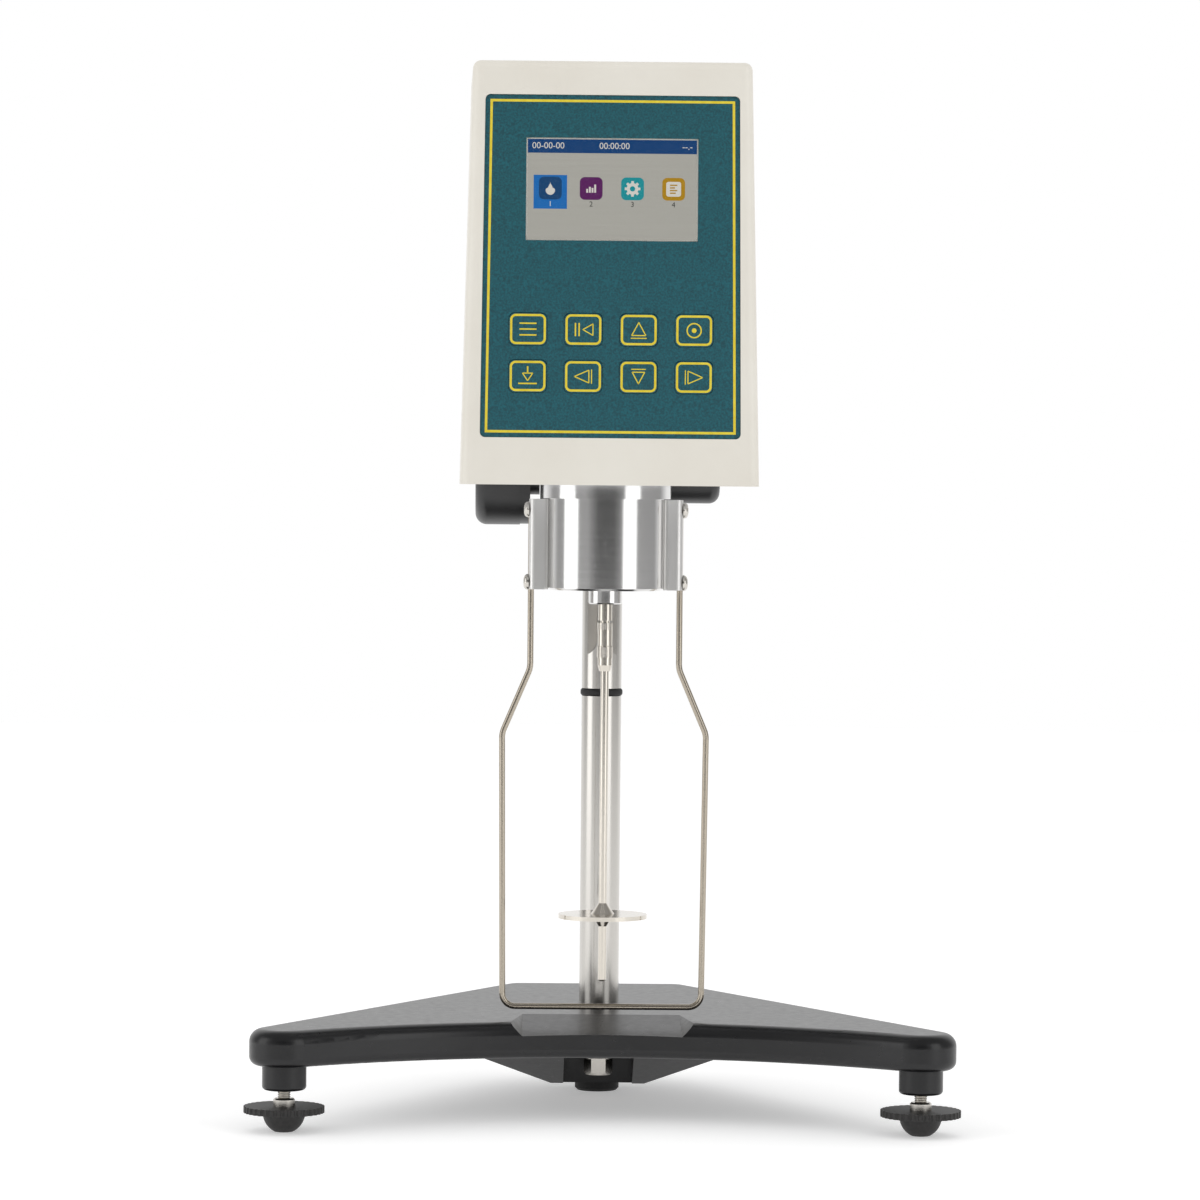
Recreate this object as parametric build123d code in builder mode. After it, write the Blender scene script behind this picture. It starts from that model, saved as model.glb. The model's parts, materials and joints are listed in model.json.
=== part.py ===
from build123d import *
from math import acos, asin, atan2, ceil, cos, floor, hypot, pi, radians, sin, sqrt, tan
import os

# Bench rotational viscometer. A three-footed casting carries a round post with a rack cut in its
# front. A carriage slides on the post and holds the measuring head, which turns a disc spindle
# inside a wire guard. Millimetres, X to the right, Y to the back, Z up from the bench.

os.makedirs("parts", exist_ok=True)

# Main axes
spindle_y = -34.3            # upright spindle axis, in front of the origin
post_reach = 66.0            # from the spindle axis back to the post axis
post_y = spindle_y + post_reach

# Clearances
slide_gap = 0.05             # radial, shaft in its bearing or post in its bore
seat_gap = 0.3               # between parts of the same body that are laid in place
key_gap = 0.15               # round a key in its window

# Base casting
foot_x = 122.0
foot_reach = 40.0            # front feet in front of the spindle axis
foot_y = spindle_y - foot_reach
tip_radius = 13.5
base_underside = 25.5
base_thickness = 14.0
base_top = base_underside + base_thickness
front_set_back = 26.0        # middle of the front edge, behind the front feet
base_front_y = foot_y + front_set_back
base_rear_y = spindle_y + 138.5
rear_half_width = 36.7
rear_corner_radius = 10.0
base_edge_radius = 5.0
base_lower_radius = 3.5
base_wall = 5.0
base_roof = 6.0
scoop_half_width = 31.0      # shallow slope in the middle of the front edge
scoop_rear_y = spindle_y + 16.0
scoop_angle = 9.0
scoop_end_taper = 45.0

# Heel under the back of the base, with the fixed rear foot
rear_foot_y = spindle_y + 95.0
heel_top_front_y = spindle_y + 20.0
heel_top_front_half = 80.0
heel_top_rear_y = spindle_y + 126.0
heel_top_rear_half = 36.0
heel_pad_z = 4.5
heel_pad_half = 19.0
heel_pad_depth = 34.0
nut_recess_half = 14.0
rear_foot_radius = 9.0
rear_foot_edge = 1.0
rear_foot_stem_radius = 3.0
rear_foot_stem_length = 8.0

# Levelling feet
boss_radius = 8.5
boss_bottom = 16.0
boss_edge = 1.5
stud_radius = 2.5
stud_top = 32.0
stud_hole_top = 35.0
stud_pin_radius = 1.5
stud_pin_bottom = 3.5
collar_radius = 4.2
collar_height = 3.1
collar_chamfer = 0.6
wheel_radius = 15.5
wheel_bottom = 7.3
wheel_thickness = 2.5
scallop_count = 36
scallop_radius = 0.9
scallop_out = 0.35           # scallop centres, outside the rim
ball_radius = 8.15
ball_gap = 0.1

# Post with its rack
post_radius = 8.0
post_bottom = 22.0
post_top = 395.0
post_edge = 1.0
post_boss_radius = 15.0
post_boss_bottom = 17.8
post_stud_radius = 3.0
post_stud_bottom = 11.0
nut_flange_radius = 7.3
nut_flange_thickness = 1.2
nut_across_flats = 10.0
nut_height = 6.8             # below its flange
nut_chamfer = 1.2
stop_ring_z = 164.7
stop_ring_height = 3.1
stop_ring_radius = 8.5
stop_ring_groove = 6.6
stop_ring_round = 1.2

# Rack and pinion, module 0.5
gear_module = 0.5
pressure_angle = 20.0
pinion_teeth = 24
pinion_levels = (-1.15, -0.2, 0.45, 0.95)    # flank points from the pitch circle, in modules
pinion_z = 252.1
pinion_face = 6.0
tooth_backlash = 0.06
rack_pitch = pi * gear_module
pinion_pitch_radius = pinion_teeth * gear_module / 2
rack_tip_radius = 7.8        # rack tips lie just inside the post's own surface
rack_half_width = 2.0
rack_bottom = 186.0
rack_top = 391.0
rack_flat_depth = 2.7
rack_dedendum = 1.2          # in modules, below the pitch line
rack_cutter_radius = 6.5
pinion_y = post_y - rack_tip_radius + gear_module - pinion_pitch_radius

# Head housing
head_bottom = 248.3
head_height = 160.0
head_top = head_bottom + head_height
head_front_y = spindle_y - 70.0
head_rear_y = spindle_y + 30.0
head_half_bottom = 56.2
head_half_top = 52.7
head_draft = 1.5             # each side, wider at the back than at the front
head_tilt = 3.5              # the front leans back, in degrees
head_corner_radius = 3.5
head_top_radius = 3.0
head_wall = 3.0
head_inner_radius = 0.5
parting_depth = 34.0         # front shell, behind the front face at its foot
parting_y = head_front_y + parting_depth
parting_groove_width = 0.6
parting_groove_depth = 0.4
cover_boss_radius = 4.0
cover_boss_inset = 8.5
cover_screw_grip = 8.0
cover_screw_reach = 6.0

# Front panel
panel_z = 330.7
panel_height = 129.4
panel_half_bottom = 49.0
panel_half_top = 47.9
panel_corner = 2.0
recess_depth = 1.6
overlay_thickness = 1.0
panel_gap = 0.1              # round the panel in its recess
screen_width = 64.8
screen_height = 38.9
screen_up = 29.2             # screen centre above the panel centre
screen_lip = 0.5
display_width = 76.0
display_height = 47.0
display_thickness = 4.5
key_width = 14.3
key_height = 12.3
key_corner = 2.3
key_edge = 0.4
key_pitch_x = 20.85
key_pitch_y = 17.7
keypad_down = 32.75          # middle of the keypad below the panel centre
key_columns = 4
key_rows = 2
key_proud = 0.35
key_travel = 0.5
key_board_width = 90.0
key_board_height = 38.0
board_thickness = 1.6
dome_radius = 4.0
dome_height = 0.25
dome_gap = 0.05              # left under a key pressed right in
board_gap = 0.4
spacer_root = 0.5
spacer_radius = 2.0

# Chassis inside the head
chassis_thickness = 4.0
upright_thickness = 5.0
upright_half_width = 38.0
upright_top = 303.0
shaft_opening_radius = 18.0
bridge_half_x = 28.0
bridge_half_y = 18.0
bridge_top = 287.0
bridge_thickness = 3.0
bridge_leg = 2.0
bridge_foot = 8.0
motor_side = 35.0
motor_height = 30.0
motor_corner = 3.0

# Measuring shaft, encoder discs and hairspring
drive_radius = 2.5
drive_hub_radius = 5.0
drive_hub_bottom = 265.0
drive_hub_top = 275.0
drive_end = 2.0              # shaft above the motor
shaft_radius = 1.5
shaft_top = 270.0
journal_radius = 1.0
journal_bottom = 204.2
journal_top = 211.0
shank_radius = 2.7           # the stout part of the shaft seen under the cup
collet_radius = 4.0
collet_height = 1.5
encoder_thickness = 0.5
lower_disc_z = 260.0
lower_disc_radius = 17.0
upper_disc_z = 267.0
upper_disc_radius = 19.0
spring_inner_radius = 4.2
spring_outer_radius = 12.4
spring_turns = 3
spring_steps = 20            # straight pieces in one turn
spring_thickness = 0.25
spring_height = 2.0
spring_z = 262.0
spring_stud_radius = 0.8
sensor_width = 8.0
sensor_height = 6.0
sensor_bite = 2.5
sensor_slot = 2.0
sensor_back = 1.0            # slot beyond the disc's edge

# Pivot cup and the wire guard round the spindle
cup_radius = 22.85
cup_bottom = 207.4
cup_floor = 4.6
cup_bore_radius = 18.5
cup_chamfer = 0.8
flange_radius = 25.4
flange_bottom = 243.0
nose_radius = 6.55
nose_bottom = 201.9
nose_spigot_radius = 4.5
nose_spigot_length = 5.6
nose_bore_radius = 3.1
nose_edge = 0.5
jewel_radius = 3.0
jewel_bottom = 205.5
jewel_height = 3.0
nose_top_bore = 2.0
m3_radius = 1.5
m3_head_radius = 2.75
m3_head_height = 2.2
cup_screw_circle = 21.9
cup_screw_angles = (30, 150, 270)
cup_screw_grip = 4.5
guard_bar_inner = 22.0
guard_bar_outer = 30.0
guard_bar_half_depth = 5.0
guard_bar_corner = 2.5
guard_bar_bottom = 207.5
guard_bar_top = flange_bottom - seat_gap
wire_radius = 1.2
wire_x = 29.1
wire_y = spindle_y + 3.0
wire_top = 241.0
wire_bend_top = 176.5
wire_bend_bottom = 151.0
wire_wide_x = 39.9
wire_low_x = 38.9
wire_low_z = 44.0
wire_bend_radius = 9.0
wire_corner_radius = 5.0
guard_screw_y = spindle_y - 1.0
guard_screw_zs = (210.3, 238.6)
guard_head_radius = 3.1
guard_head_height = 2.1
guard_head_round = 1.4
guard_screw_end = 19.0

# Universal coupling and the disc spindle
neck_radius = 1.8
shank_bottom = 195.4
sleeve_radius = 2.85
sleeve_top = 194.6
sleeve_bottom = 185.6
sleeve_bore_radius = 2.15
knurl_rise = 0.1
knurl_height = 2.9
pin_radius = 0.5
pin_sink = 0.1               # pin ends below the sleeve's surface
upper_pin_z = 190.4
lower_pin_z = 187.0
neck_end_gap = 0.35
coupling_gap = 0.3
hub_radius = 3.1
hub_top = sleeve_bottom - coupling_gap
hub_knurl_bottom = 180.9
hub_plain_radius = 2.8
hub_plain_bottom = 178.0
hub_bottom = 175.7
hub_end_radius = 2.2
thread_radius = 1.5
thread_length = 4.0
hub_web = 1.0                # between the thread and the rod's top
rod_radius = 1.6
rod_bottom = 54.4
rod_point = 0.6
mark_z = 104.0
mark_depth = 0.25
mark_height = 0.8
disc_radius = 17.35
disc_thickness = 1.65
disc_bottom = 79.1
upper_cone_radius = 4.6
upper_cone_height = 4.2
lower_cone_radius = 3.5
lower_cone_height = 3.2

# Carriage, height knob and tension knob
carriage_bottom = 229.0
carriage_top = 285.0
carriage_half_width = 14.0
carriage_wall = 6.0
carriage_flange_half = 22.5
carriage_flange_bottom = 251.0
carriage_flange_round = 3.0
carriage_flange_top = 300.0
carriage_flange_thickness = 6.0
carriage_edge = 1.5
pinion_boss_radius = 11.0
pinion_boss_left = -25.5
pinion_boss_right = 24.0
pinion_shaft_radius = 4.0
pinion_shaft_end = 11.2
pinion_chamber_radius = 7.0
pinion_chamber_right = 4.0
shaft_chamber_right = 15.0
tension_stud_radius = 3.0
bush_end = -6.0
carriage_screw_x = 18.4
carriage_screw_zs = (263.0, 293.0)
m4_radius = 2.0
m4_head_radius = 3.5
m4_head_height = 4.0
height_knob_radius = 20.0
height_knob_inner = -29.6
height_knob_length = 21.8
knob_grip = 15.0             # shaft inside the knob
height_knob_round = 4.6
height_knob_step = 4.0
height_knob_step_depth = 0.35
knob_hub_radius = 7.9
tension_knob_radius = 10.9
tension_knob_inner = 24.6
tension_knob_length = 21.7
tension_knob_round = 4.3

# Rear sockets, switch and top level
socket_row_z = 320.0
switch_x = -36.0
switch_width = 13.0
switch_height = 19.0
switch_flange = 1.5
switch_flange_thickness = 1.5
switch_depth = 12.0
switch_wall = 1.2
rocker_width = 10.4
rocker_half_height = 7.2
rocker_face = 4.0
rocker_keel = 2.5
rocker_hollow = 0.7
rocker_sink = 2.0            # pivot below the rear wall's face
rocker_angle = 10.0
rocker_gap = 0.3
rocker_pivot_radius = 1.2
inlet_x = -15.0
inlet_radius = 4.0
inlet_flange_radius = 5.5
inlet_bore_radius = 2.85
inlet_bore_depth = 9.0
inlet_pin_radius = 1.05
inlet_depth = 11.0
probe_x = 13.0               # clear of the post, so that a plug can come straight in
probe_radius = 3.0
probe_flange_radius = 4.5
probe_bore_radius = 1.8
probe_depth = 12.0
socket_flange_thickness = 1.6
data_x = 35.0
data_flange_width = 30.8
data_flange_height = 12.5
data_flange_thickness = 1.0
data_shell_width = 17.0
data_shell_height = 8.6
data_shell_depth = 6.0
data_shell_slope = 10.0
data_body_depth = 5.0
jack_screw_pitch = 25.0
jack_screw_radius = 2.6
jack_screw_length = 5.0
level_y = spindle_y - 8.0
level_radius = 9.0
level_depth = 8.0
level_flange_radius = 11.0
level_flange_thickness = 1.0
vial_radius = 7.5
vial_depth = 6.0
vial_sink = 0.3
main_board_width = 84.0
main_board_bottom = 338.0
main_board_top = 396.0
main_board_gap = 7.0         # stand-off from the rear wall
main_board_post_inset = 5.0

chassis_top = head_bottom + chassis_thickness
rear_inner_y = head_rear_y - head_wall
main_board_y = rear_inner_y - main_board_gap
rear_plane = Plane(origin=(0, head_rear_y, 0), x_dir=(-1, 0, 0), z_dir=(0, 1, 0))
pinion_axis = Axis((0, pinion_y, pinion_z), (1, 0, 0))


def upright_plane(x, y):
    """Plane through an upright axis: its x is the radius and its y is the height."""
    return Plane(origin=(x, y, 0), x_dir=(1, 0, 0), z_dir=(0, -1, 0))


def turn_upright(points, x, y, mode=Mode.ADD):
    """Turn an outline of (radius, height) points about the upright axis at x, y."""
    with BuildSketch(upright_plane(x, y)) as profile:
        with BuildLine():
            Polyline(*points, close=True)
        make_face()
    revolve(profile.sketch, axis=Axis((x, y, 0), (0, 0, 1)), mode=mode)


def rod(radius, bottom, top, x=0.0, y=spindle_y, mode=Mode.ADD):
    """An upright cylinder between two heights."""
    with Locations((x, y, bottom)):
        Cylinder(radius, top - bottom, align=(Align.CENTER, Align.CENTER, Align.MIN), mode=mode)


def crosswise_rod(radius, left, right, y=pinion_y, z=pinion_z, mode=Mode.ADD):
    """A cylinder along X between two X values."""
    with Locations(Location((left, y, z), (0, 90, 0))):
        Cylinder(radius, right - left, align=(Align.CENTER, Align.CENTER, Align.MIN), mode=mode)


def back_rod(radius, front, back, x, z, mode=Mode.ADD):
    """A cylinder along Y between two Y values."""
    with Locations(Location((x, front, z), (-90, 0, 0))):
        Cylinder(radius, back - front, align=(Align.CENTER, Align.CENTER, Align.MIN), mode=mode)


def save(part, label):
    """Name a finished piece and write it."""
    part.label = label
    export_step(part, f"parts/{label}.step")


# Outline of the base: a concave front arc that runs into the round arm tips, straight sides and a
# short back edge
front_arc_radius = ((foot_x**2 + front_set_back**2 - tip_radius**2)
                    / (2 * (tip_radius + front_set_back)))
front_arc_centre_y = base_front_y - front_arc_radius
tip_front_angle = atan2(front_arc_centre_y - foot_y, -foot_x)
side_dx = foot_x - rear_half_width
side_dy = foot_y - base_rear_y
side_angle = atan2(side_dy, side_dx) + asin(tip_radius / hypot(side_dx, side_dy))
tip_side_angle = side_angle + pi / 2


def tip_point(angle, side=1):
    """A point on the round tip of the right arm, or of the left one where side is -1."""
    return (side * (foot_x + tip_radius * cos(angle)), foot_y + tip_radius * sin(angle))


def base_outline():
    """The outline of the base, as a face in the active sketch."""
    middle_angle = (tip_front_angle + tip_side_angle) / 2
    rear_right = (rear_half_width, base_rear_y)
    rear_left = (-rear_half_width, base_rear_y)
    with BuildLine() as rim:
        ThreePointArc(tip_point(tip_front_angle, -1), (0, base_front_y), tip_point(tip_front_angle))
        ThreePointArc(tip_point(tip_front_angle), tip_point(middle_angle), tip_point(tip_side_angle))
        Line(tip_point(tip_side_angle), rear_right)
        Line(rear_right, rear_left)
        Line(rear_left, tip_point(tip_side_angle, -1))
        ThreePointArc(tip_point(tip_side_angle, -1), tip_point(middle_angle, -1),
                      tip_point(tip_front_angle, -1))
    make_face(rim.edges())


def heel_section(front_y, front_half, rear_y, rear_half):
    """One level of the heel under the base, as a face in the active sketch."""
    Polygon((-front_half, front_y), (front_half, front_y), (rear_half, rear_y),
            (-rear_half, rear_y), align=None)


# Base casting: a plate with a rounded rim, hollow below, with bosses for the post and the front
# feet and a deeper heel that carries the rear foot
base_roof_z = base_top - base_roof
with BuildPart() as base_casting:
    with BuildSketch(Plane.XY.offset(base_underside)) as outline:
        base_outline()
        fillet(outline.vertices().group_by(Axis.Y)[-1], radius=rear_corner_radius)
    extrude(amount=base_thickness)
    fillet(faces().sort_by(Axis.Z)[-1].edges(), radius=base_edge_radius)
    fillet(faces().sort_by(Axis.Z)[0].edges(), radius=base_lower_radius)
    scoop_plane = Plane(origin=(0, scoop_rear_y, base_top), x_dir=(1, 0, 0),
                        z_dir=(0, -sin(radians(scoop_angle)), cos(radians(scoop_angle))))
    with BuildSketch(scoop_plane):
        Rectangle(2 * scoop_half_width, scoop_rear_y - base_front_y + tip_radius,
                  align=(Align.CENTER, Align.MAX))
    extrude(amount=base_thickness, taper=-scoop_end_taper, mode=Mode.SUBTRACT)
    with BuildSketch(Plane.XY.offset(base_underside)) as hollow:
        base_outline()
        fillet(hollow.vertices().group_by(Axis.Y)[-1], radius=rear_corner_radius)
        offset(amount=-base_wall, mode=Mode.REPLACE)
        with Locations((foot_x, foot_y), (-foot_x, foot_y)):
            Circle(boss_radius, mode=Mode.SUBTRACT)
    extrude(amount=base_thickness - base_roof, mode=Mode.SUBTRACT)
    with BuildSketch(Plane.XY.offset(base_roof_z)):
        heel_section(heel_top_front_y, heel_top_front_half, heel_top_rear_y, heel_top_rear_half)
    with BuildSketch(Plane.XY.offset(heel_pad_z)):
        heel_section(rear_foot_y - heel_pad_depth / 2, heel_pad_half,
                     rear_foot_y + heel_pad_depth / 2, heel_pad_half)
    loft(ruled=True)
    with BuildSketch(Plane.XY.offset(heel_pad_z)):
        with Locations((0, post_y + post_boss_radius)):
            Rectangle(2 * nut_recess_half, 4 * post_boss_radius, align=(Align.CENTER, Align.MAX))
    extrude(amount=base_roof_z - heel_pad_z, mode=Mode.SUBTRACT)
    rod(post_boss_radius, post_boss_bottom, base_roof_z, y=post_y)
    for side in (-1, 1):
        with BuildSketch(upright_plane(side * foot_x, foot_y)) as boss:
            with Locations((0, boss_bottom)):
                Rectangle(boss_radius, base_roof_z - boss_bottom, align=Align.MIN)
            fillet(boss.vertices().group_by(Axis.Y)[0].sort_by(Axis.X)[-1], radius=boss_edge)
        revolve(axis=Axis((side * foot_x, foot_y, 0), (0, 0, 1)))
        rod(stud_radius + slide_gap, boss_bottom, stud_hole_top, side * foot_x, foot_y, Mode.SUBTRACT)
    rod(post_radius, post_bottom, base_top, y=post_y, mode=Mode.SUBTRACT)
    rod(post_stud_radius, post_boss_bottom, post_bottom, y=post_y, mode=Mode.SUBTRACT)
    rod(rear_foot_stem_radius, heel_pad_z, heel_pad_z + rear_foot_stem_length, y=rear_foot_y,
        mode=Mode.SUBTRACT)
save(base_casting.part, "base_casting")

# Rubber rear foot, pressed into the heel by its stem
with BuildPart() as rear_foot:
    turn_upright([(0, 0), (rear_foot_radius - rear_foot_edge, 0), (rear_foot_radius, rear_foot_edge),
                  (rear_foot_radius, heel_pad_z), (rear_foot_stem_radius, heel_pad_z),
                  (rear_foot_stem_radius, heel_pad_z + rear_foot_stem_length),
                  (0, heel_pad_z + rear_foot_stem_length)], 0, rear_foot_y)
save(rear_foot.part, "rear_foot")

# Levelling feet: a plain ball that stands still and a screw that turns in the arm, with its
# collar and scalloped hand wheel
ball_top = wheel_bottom - ball_gap
ball_flat = sqrt(ball_radius**2 - wheel_bottom**2)
for side, name in ((-1, "left"), (1, "right")):
    x = side * foot_x
    with BuildPart() as foot_ball:
        with BuildSketch(upright_plane(x, foot_y)):
            with BuildLine():
                Line((0, 0), (ball_flat, 0))
                ball_side = RadiusArc((ball_flat, 0), (sqrt(ball_radius**2 - ball_gap**2), ball_top),
                                      -ball_radius)
                Line(ball_side @ 1, (0, ball_top))
                Line((0, ball_top), (0, 0))
            make_face()
        revolve(axis=Axis((x, foot_y, 0), (0, 0, 1)))
        rod(stud_pin_radius + slide_gap, stud_pin_bottom - ball_gap, ball_top, x, foot_y, Mode.SUBTRACT)
    save(foot_ball.part, f"{name}_foot_ball")

    collar_bottom = wheel_bottom + wheel_thickness
    collar_top = collar_bottom + collar_height
    with BuildPart() as foot_stud:
        turn_upright([(0, stud_pin_bottom), (stud_pin_radius, stud_pin_bottom),
                      (stud_pin_radius, wheel_bottom), (stud_radius, wheel_bottom),
                      (stud_radius, collar_bottom), (collar_radius, collar_bottom),
                      (collar_radius, collar_top - collar_chamfer),
                      (collar_radius - collar_chamfer, collar_top), (stud_radius, collar_top),
                      (stud_radius, stud_top), (0, stud_top)], x, foot_y)
    save(foot_stud.part, f"{name}_foot_stud")

    with BuildPart() as foot_wheel:
        with BuildSketch(Plane.XY.offset(wheel_bottom)):
            with Locations((x, foot_y)):
                Circle(wheel_radius)
                Circle(stud_radius, mode=Mode.SUBTRACT)
                with PolarLocations(wheel_radius + scallop_out, scallop_count):
                    Circle(scallop_radius, mode=Mode.SUBTRACT)
        extrude(amount=wheel_thickness)
    save(foot_wheel.part, f"{name}_foot_wheel")

# Post: a ground bar with a stud below for its nut, a groove for the stop ring, and a rack between
# two flats that an end mill left on its front
rack_root_y = pinion_y + pinion_pitch_radius + rack_dedendum * gear_module
rack_tip_y = post_y - rack_tip_radius
flank = gear_module * tan(radians(pressure_angle))
rack_first = ceil((rack_bottom - pinion_z) / rack_pitch)
rack_last = floor((rack_top - pinion_z) / rack_pitch)
with BuildPart() as post:
    turn_upright([(0, post_stud_bottom), (post_stud_radius, post_stud_bottom),
                  (post_stud_radius, post_bottom), (post_radius, post_bottom),
                  (post_radius, stop_ring_z - stop_ring_height / 2),
                  (stop_ring_groove, stop_ring_z - stop_ring_height / 2),
                  (stop_ring_groove, stop_ring_z + stop_ring_height / 2),
                  (post_radius, stop_ring_z + stop_ring_height / 2),
                  (post_radius, post_top - post_edge), (post_radius - post_edge, post_top),
                  (0, post_top)], 0, post_y)
    with BuildSketch(Plane(origin=(0, post_y - post_radius, 0), x_dir=(1, 0, 0), z_dir=(0, -1, 0))):
        for side in (-1, 1):
            with Locations((side * (rack_half_width + rack_cutter_radius), rack_bottom)):
                Circle(rack_cutter_radius)
                Rectangle(2 * rack_cutter_radius, post_top - rack_bottom + post_edge,
                          align=(Align.CENTER, Align.MIN))
    extrude(amount=-rack_flat_depth, mode=Mode.SUBTRACT)
    with BuildSketch(Plane.YZ.offset(-rack_half_width - seat_gap)):
        with BuildLine():
            gap_points = []
            for step in range(rack_first, rack_last + 1):
                gap_z = pinion_z + step * rack_pitch
                wide = rack_pitch / 4 + flank
                narrow = rack_pitch / 4 - flank * rack_dedendum
                gap_points += [(rack_tip_y, gap_z - wide), (rack_root_y, gap_z - narrow),
                               (rack_root_y, gap_z + narrow), (rack_tip_y, gap_z + wide)]
            first_z, last_z = gap_points[0][1], gap_points[-1][1]
            front_y = post_y - post_radius - seat_gap
            Polyline((front_y, first_z), *gap_points, (front_y, last_z), close=True)
        make_face()
    extrude(amount=2 * (rack_half_width + seat_gap), mode=Mode.SUBTRACT)
save(post.part, "post")

# Flanged nut that draws the post down into the base
nut_top = post_boss_bottom - nut_flange_thickness
nut_bottom = nut_top - nut_height
corner_radius = nut_across_flats / sqrt(3)
with BuildPart() as post_nut:
    with BuildSketch(Plane.XY.offset(nut_bottom)):
        with Locations((0, post_y)):
            RegularPolygon(nut_across_flats / 2, 6, major_radius=False)
    extrude(amount=nut_height)
    turn_upright([(corner_radius, nut_bottom), (nut_across_flats / 2, nut_bottom),
                  (corner_radius, nut_bottom + nut_chamfer)], 0, post_y, Mode.SUBTRACT)
    rod(nut_flange_radius, nut_top, post_boss_bottom, y=post_y)
    rod(post_stud_radius, nut_bottom, post_boss_bottom, y=post_y, mode=Mode.SUBTRACT)
save(post_nut.part, "post_nut")

# Rubber ring in the post's groove, which the carriage comes down on
with BuildPart() as stop_ring:
    with BuildSketch(upright_plane(0, post_y)) as ring_section:
        with Locations((stop_ring_groove, stop_ring_z)):
            Rectangle(stop_ring_radius - stop_ring_groove, stop_ring_height,
                      align=(Align.MIN, Align.CENTER))
        fillet(ring_section.vertices().group_by(Axis.X)[-1], radius=stop_ring_round)
    revolve(axis=Axis((0, post_y, 0), (0, 0, 1)))
save(stop_ring.part, "stop_ring")


def head_outline(z, inset):
    """The head's outline at a height, drawn in by inset, as a face in the active sketch."""
    share = (z - head_bottom) / head_height
    front_half = head_half_bottom + (head_half_top - head_half_bottom) * share - inset
    rear_half = front_half + head_draft
    front_y = head_front_y + (z - head_bottom) * tan(radians(head_tilt)) + inset
    rear_y = head_rear_y - inset
    with BuildSketch() as outline:
        Polygon((-front_half, front_y), (front_half, front_y), (rear_half, rear_y),
                (-rear_half, rear_y), align=None)
        fillet(outline.vertices(), radius=max(head_corner_radius - inset, head_inner_radius))
    add(outline.sketch)


def head_solid(bottom, top, inset):
    """The tapered form of the head between two heights."""
    with BuildPart() as form:
        with BuildSketch(Plane.XY.offset(bottom)):
            head_outline(bottom, inset)
        with BuildSketch(Plane.XY.offset(top)):
            head_outline(top, inset)
        loft(ruled=True)
    return form.part


def cover_boss_places():
    """X and Z of the four corner bosses that hold the two shells together."""
    low = head_bottom + chassis_thickness + cover_boss_radius + seat_gap
    high = head_top - cover_boss_inset
    for z, half in ((low, head_half_bottom), (high, head_half_top)):
        for side in (-1, 1):
            yield side * (half - cover_boss_inset), z


def face_plane(depth=0.0):
    """The plane of the sloping front face: x to the right, y up it, a depth behind it."""
    tilt = radians(head_tilt)
    face_y = head_front_y + (panel_z - head_bottom) * tan(tilt)
    face = Plane(origin=(0, face_y, panel_z), x_dir=(1, 0, 0), z_dir=(0, -cos(tilt), sin(tilt)))
    return face.offset(-depth)


def panel_outline(clearance):
    """The slightly tapered outline of the front panel, as a face in the active sketch."""
    half_height = panel_height / 2 + clearance
    bottom_half = panel_half_bottom + clearance
    top_half = panel_half_top + clearance
    with BuildSketch() as outline:
        Polygon((-bottom_half, -half_height), (bottom_half, -half_height), (top_half, half_height),
                (-top_half, half_height), align=None)
        fillet(outline.vertices(), radius=panel_corner)
    add(outline.sketch)


# Head form with its rounded top, cut into a front shell and a rear cover round one hollow
with BuildPart() as head_form:
    add(head_solid(head_bottom, head_top, 0))
    fillet(faces().sort_by(Axis.Z)[-1].edges(), radius=head_top_radius)
with BuildPart() as parting_groove:
    add(head_form.part)
    with Locations((0, parting_y, head_bottom)):
        Box(3 * head_half_bottom, parting_groove_width, 3 * head_height, mode=Mode.INTERSECT)
    add(head_solid(head_bottom - head_wall, head_top - parting_groove_depth, parting_groove_depth),
        mode=Mode.SUBTRACT)
with BuildPart() as housing:
    add(head_form.part)
    add(parting_groove.part, mode=Mode.SUBTRACT)
head_hollow = head_solid(head_bottom - head_wall, head_top - head_wall, head_wall)
parting_plane = Plane(origin=(0, parting_y, 0), x_dir=(1, 0, 0), z_dir=(0, -1, 0))

# Front shell: the panel lies in its recess, with openings behind for the screen and the keys
with BuildPart() as front_shell:
    add(housing.part)
    add(head_hollow, mode=Mode.SUBTRACT)
    for x, z in cover_boss_places():
        back_rod(cover_boss_radius, head_front_y + head_wall, parting_y, x, z)
    add(housing.part, mode=Mode.INTERSECT)
    split(bisect_by=parting_plane, keep=Keep.TOP)
    for x, z in cover_boss_places():
        back_rod(m3_radius, parting_y - cover_screw_reach, parting_y, x, z, Mode.SUBTRACT)
    with BuildSketch(face_plane()):
        panel_outline(panel_gap)
    extrude(amount=-recess_depth, mode=Mode.SUBTRACT)
    with BuildSketch(face_plane(recess_depth)):
        with Locations((0, screen_up)):
            Rectangle(screen_width - 2 * screen_lip, screen_height - 2 * screen_lip)
        with Locations((0, -keypad_down)):
            with GridLocations(key_pitch_x, key_pitch_y, key_columns, key_rows):
                RectangleRounded(key_width + 2 * key_gap, key_height + 2 * key_gap, key_corner)
    extrude(amount=-head_wall, mode=Mode.SUBTRACT)
    with BuildSketch(face_plane(head_wall - spacer_root)):
        with Locations((0, -keypad_down)):
            with GridLocations(key_board_width - 2 * spacer_radius, key_board_height - 2 * spacer_radius,
                               2, 2):
                Circle(spacer_radius)
    extrude(amount=-board_gap - spacer_root)
save(front_shell.part, "front_shell")

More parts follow.
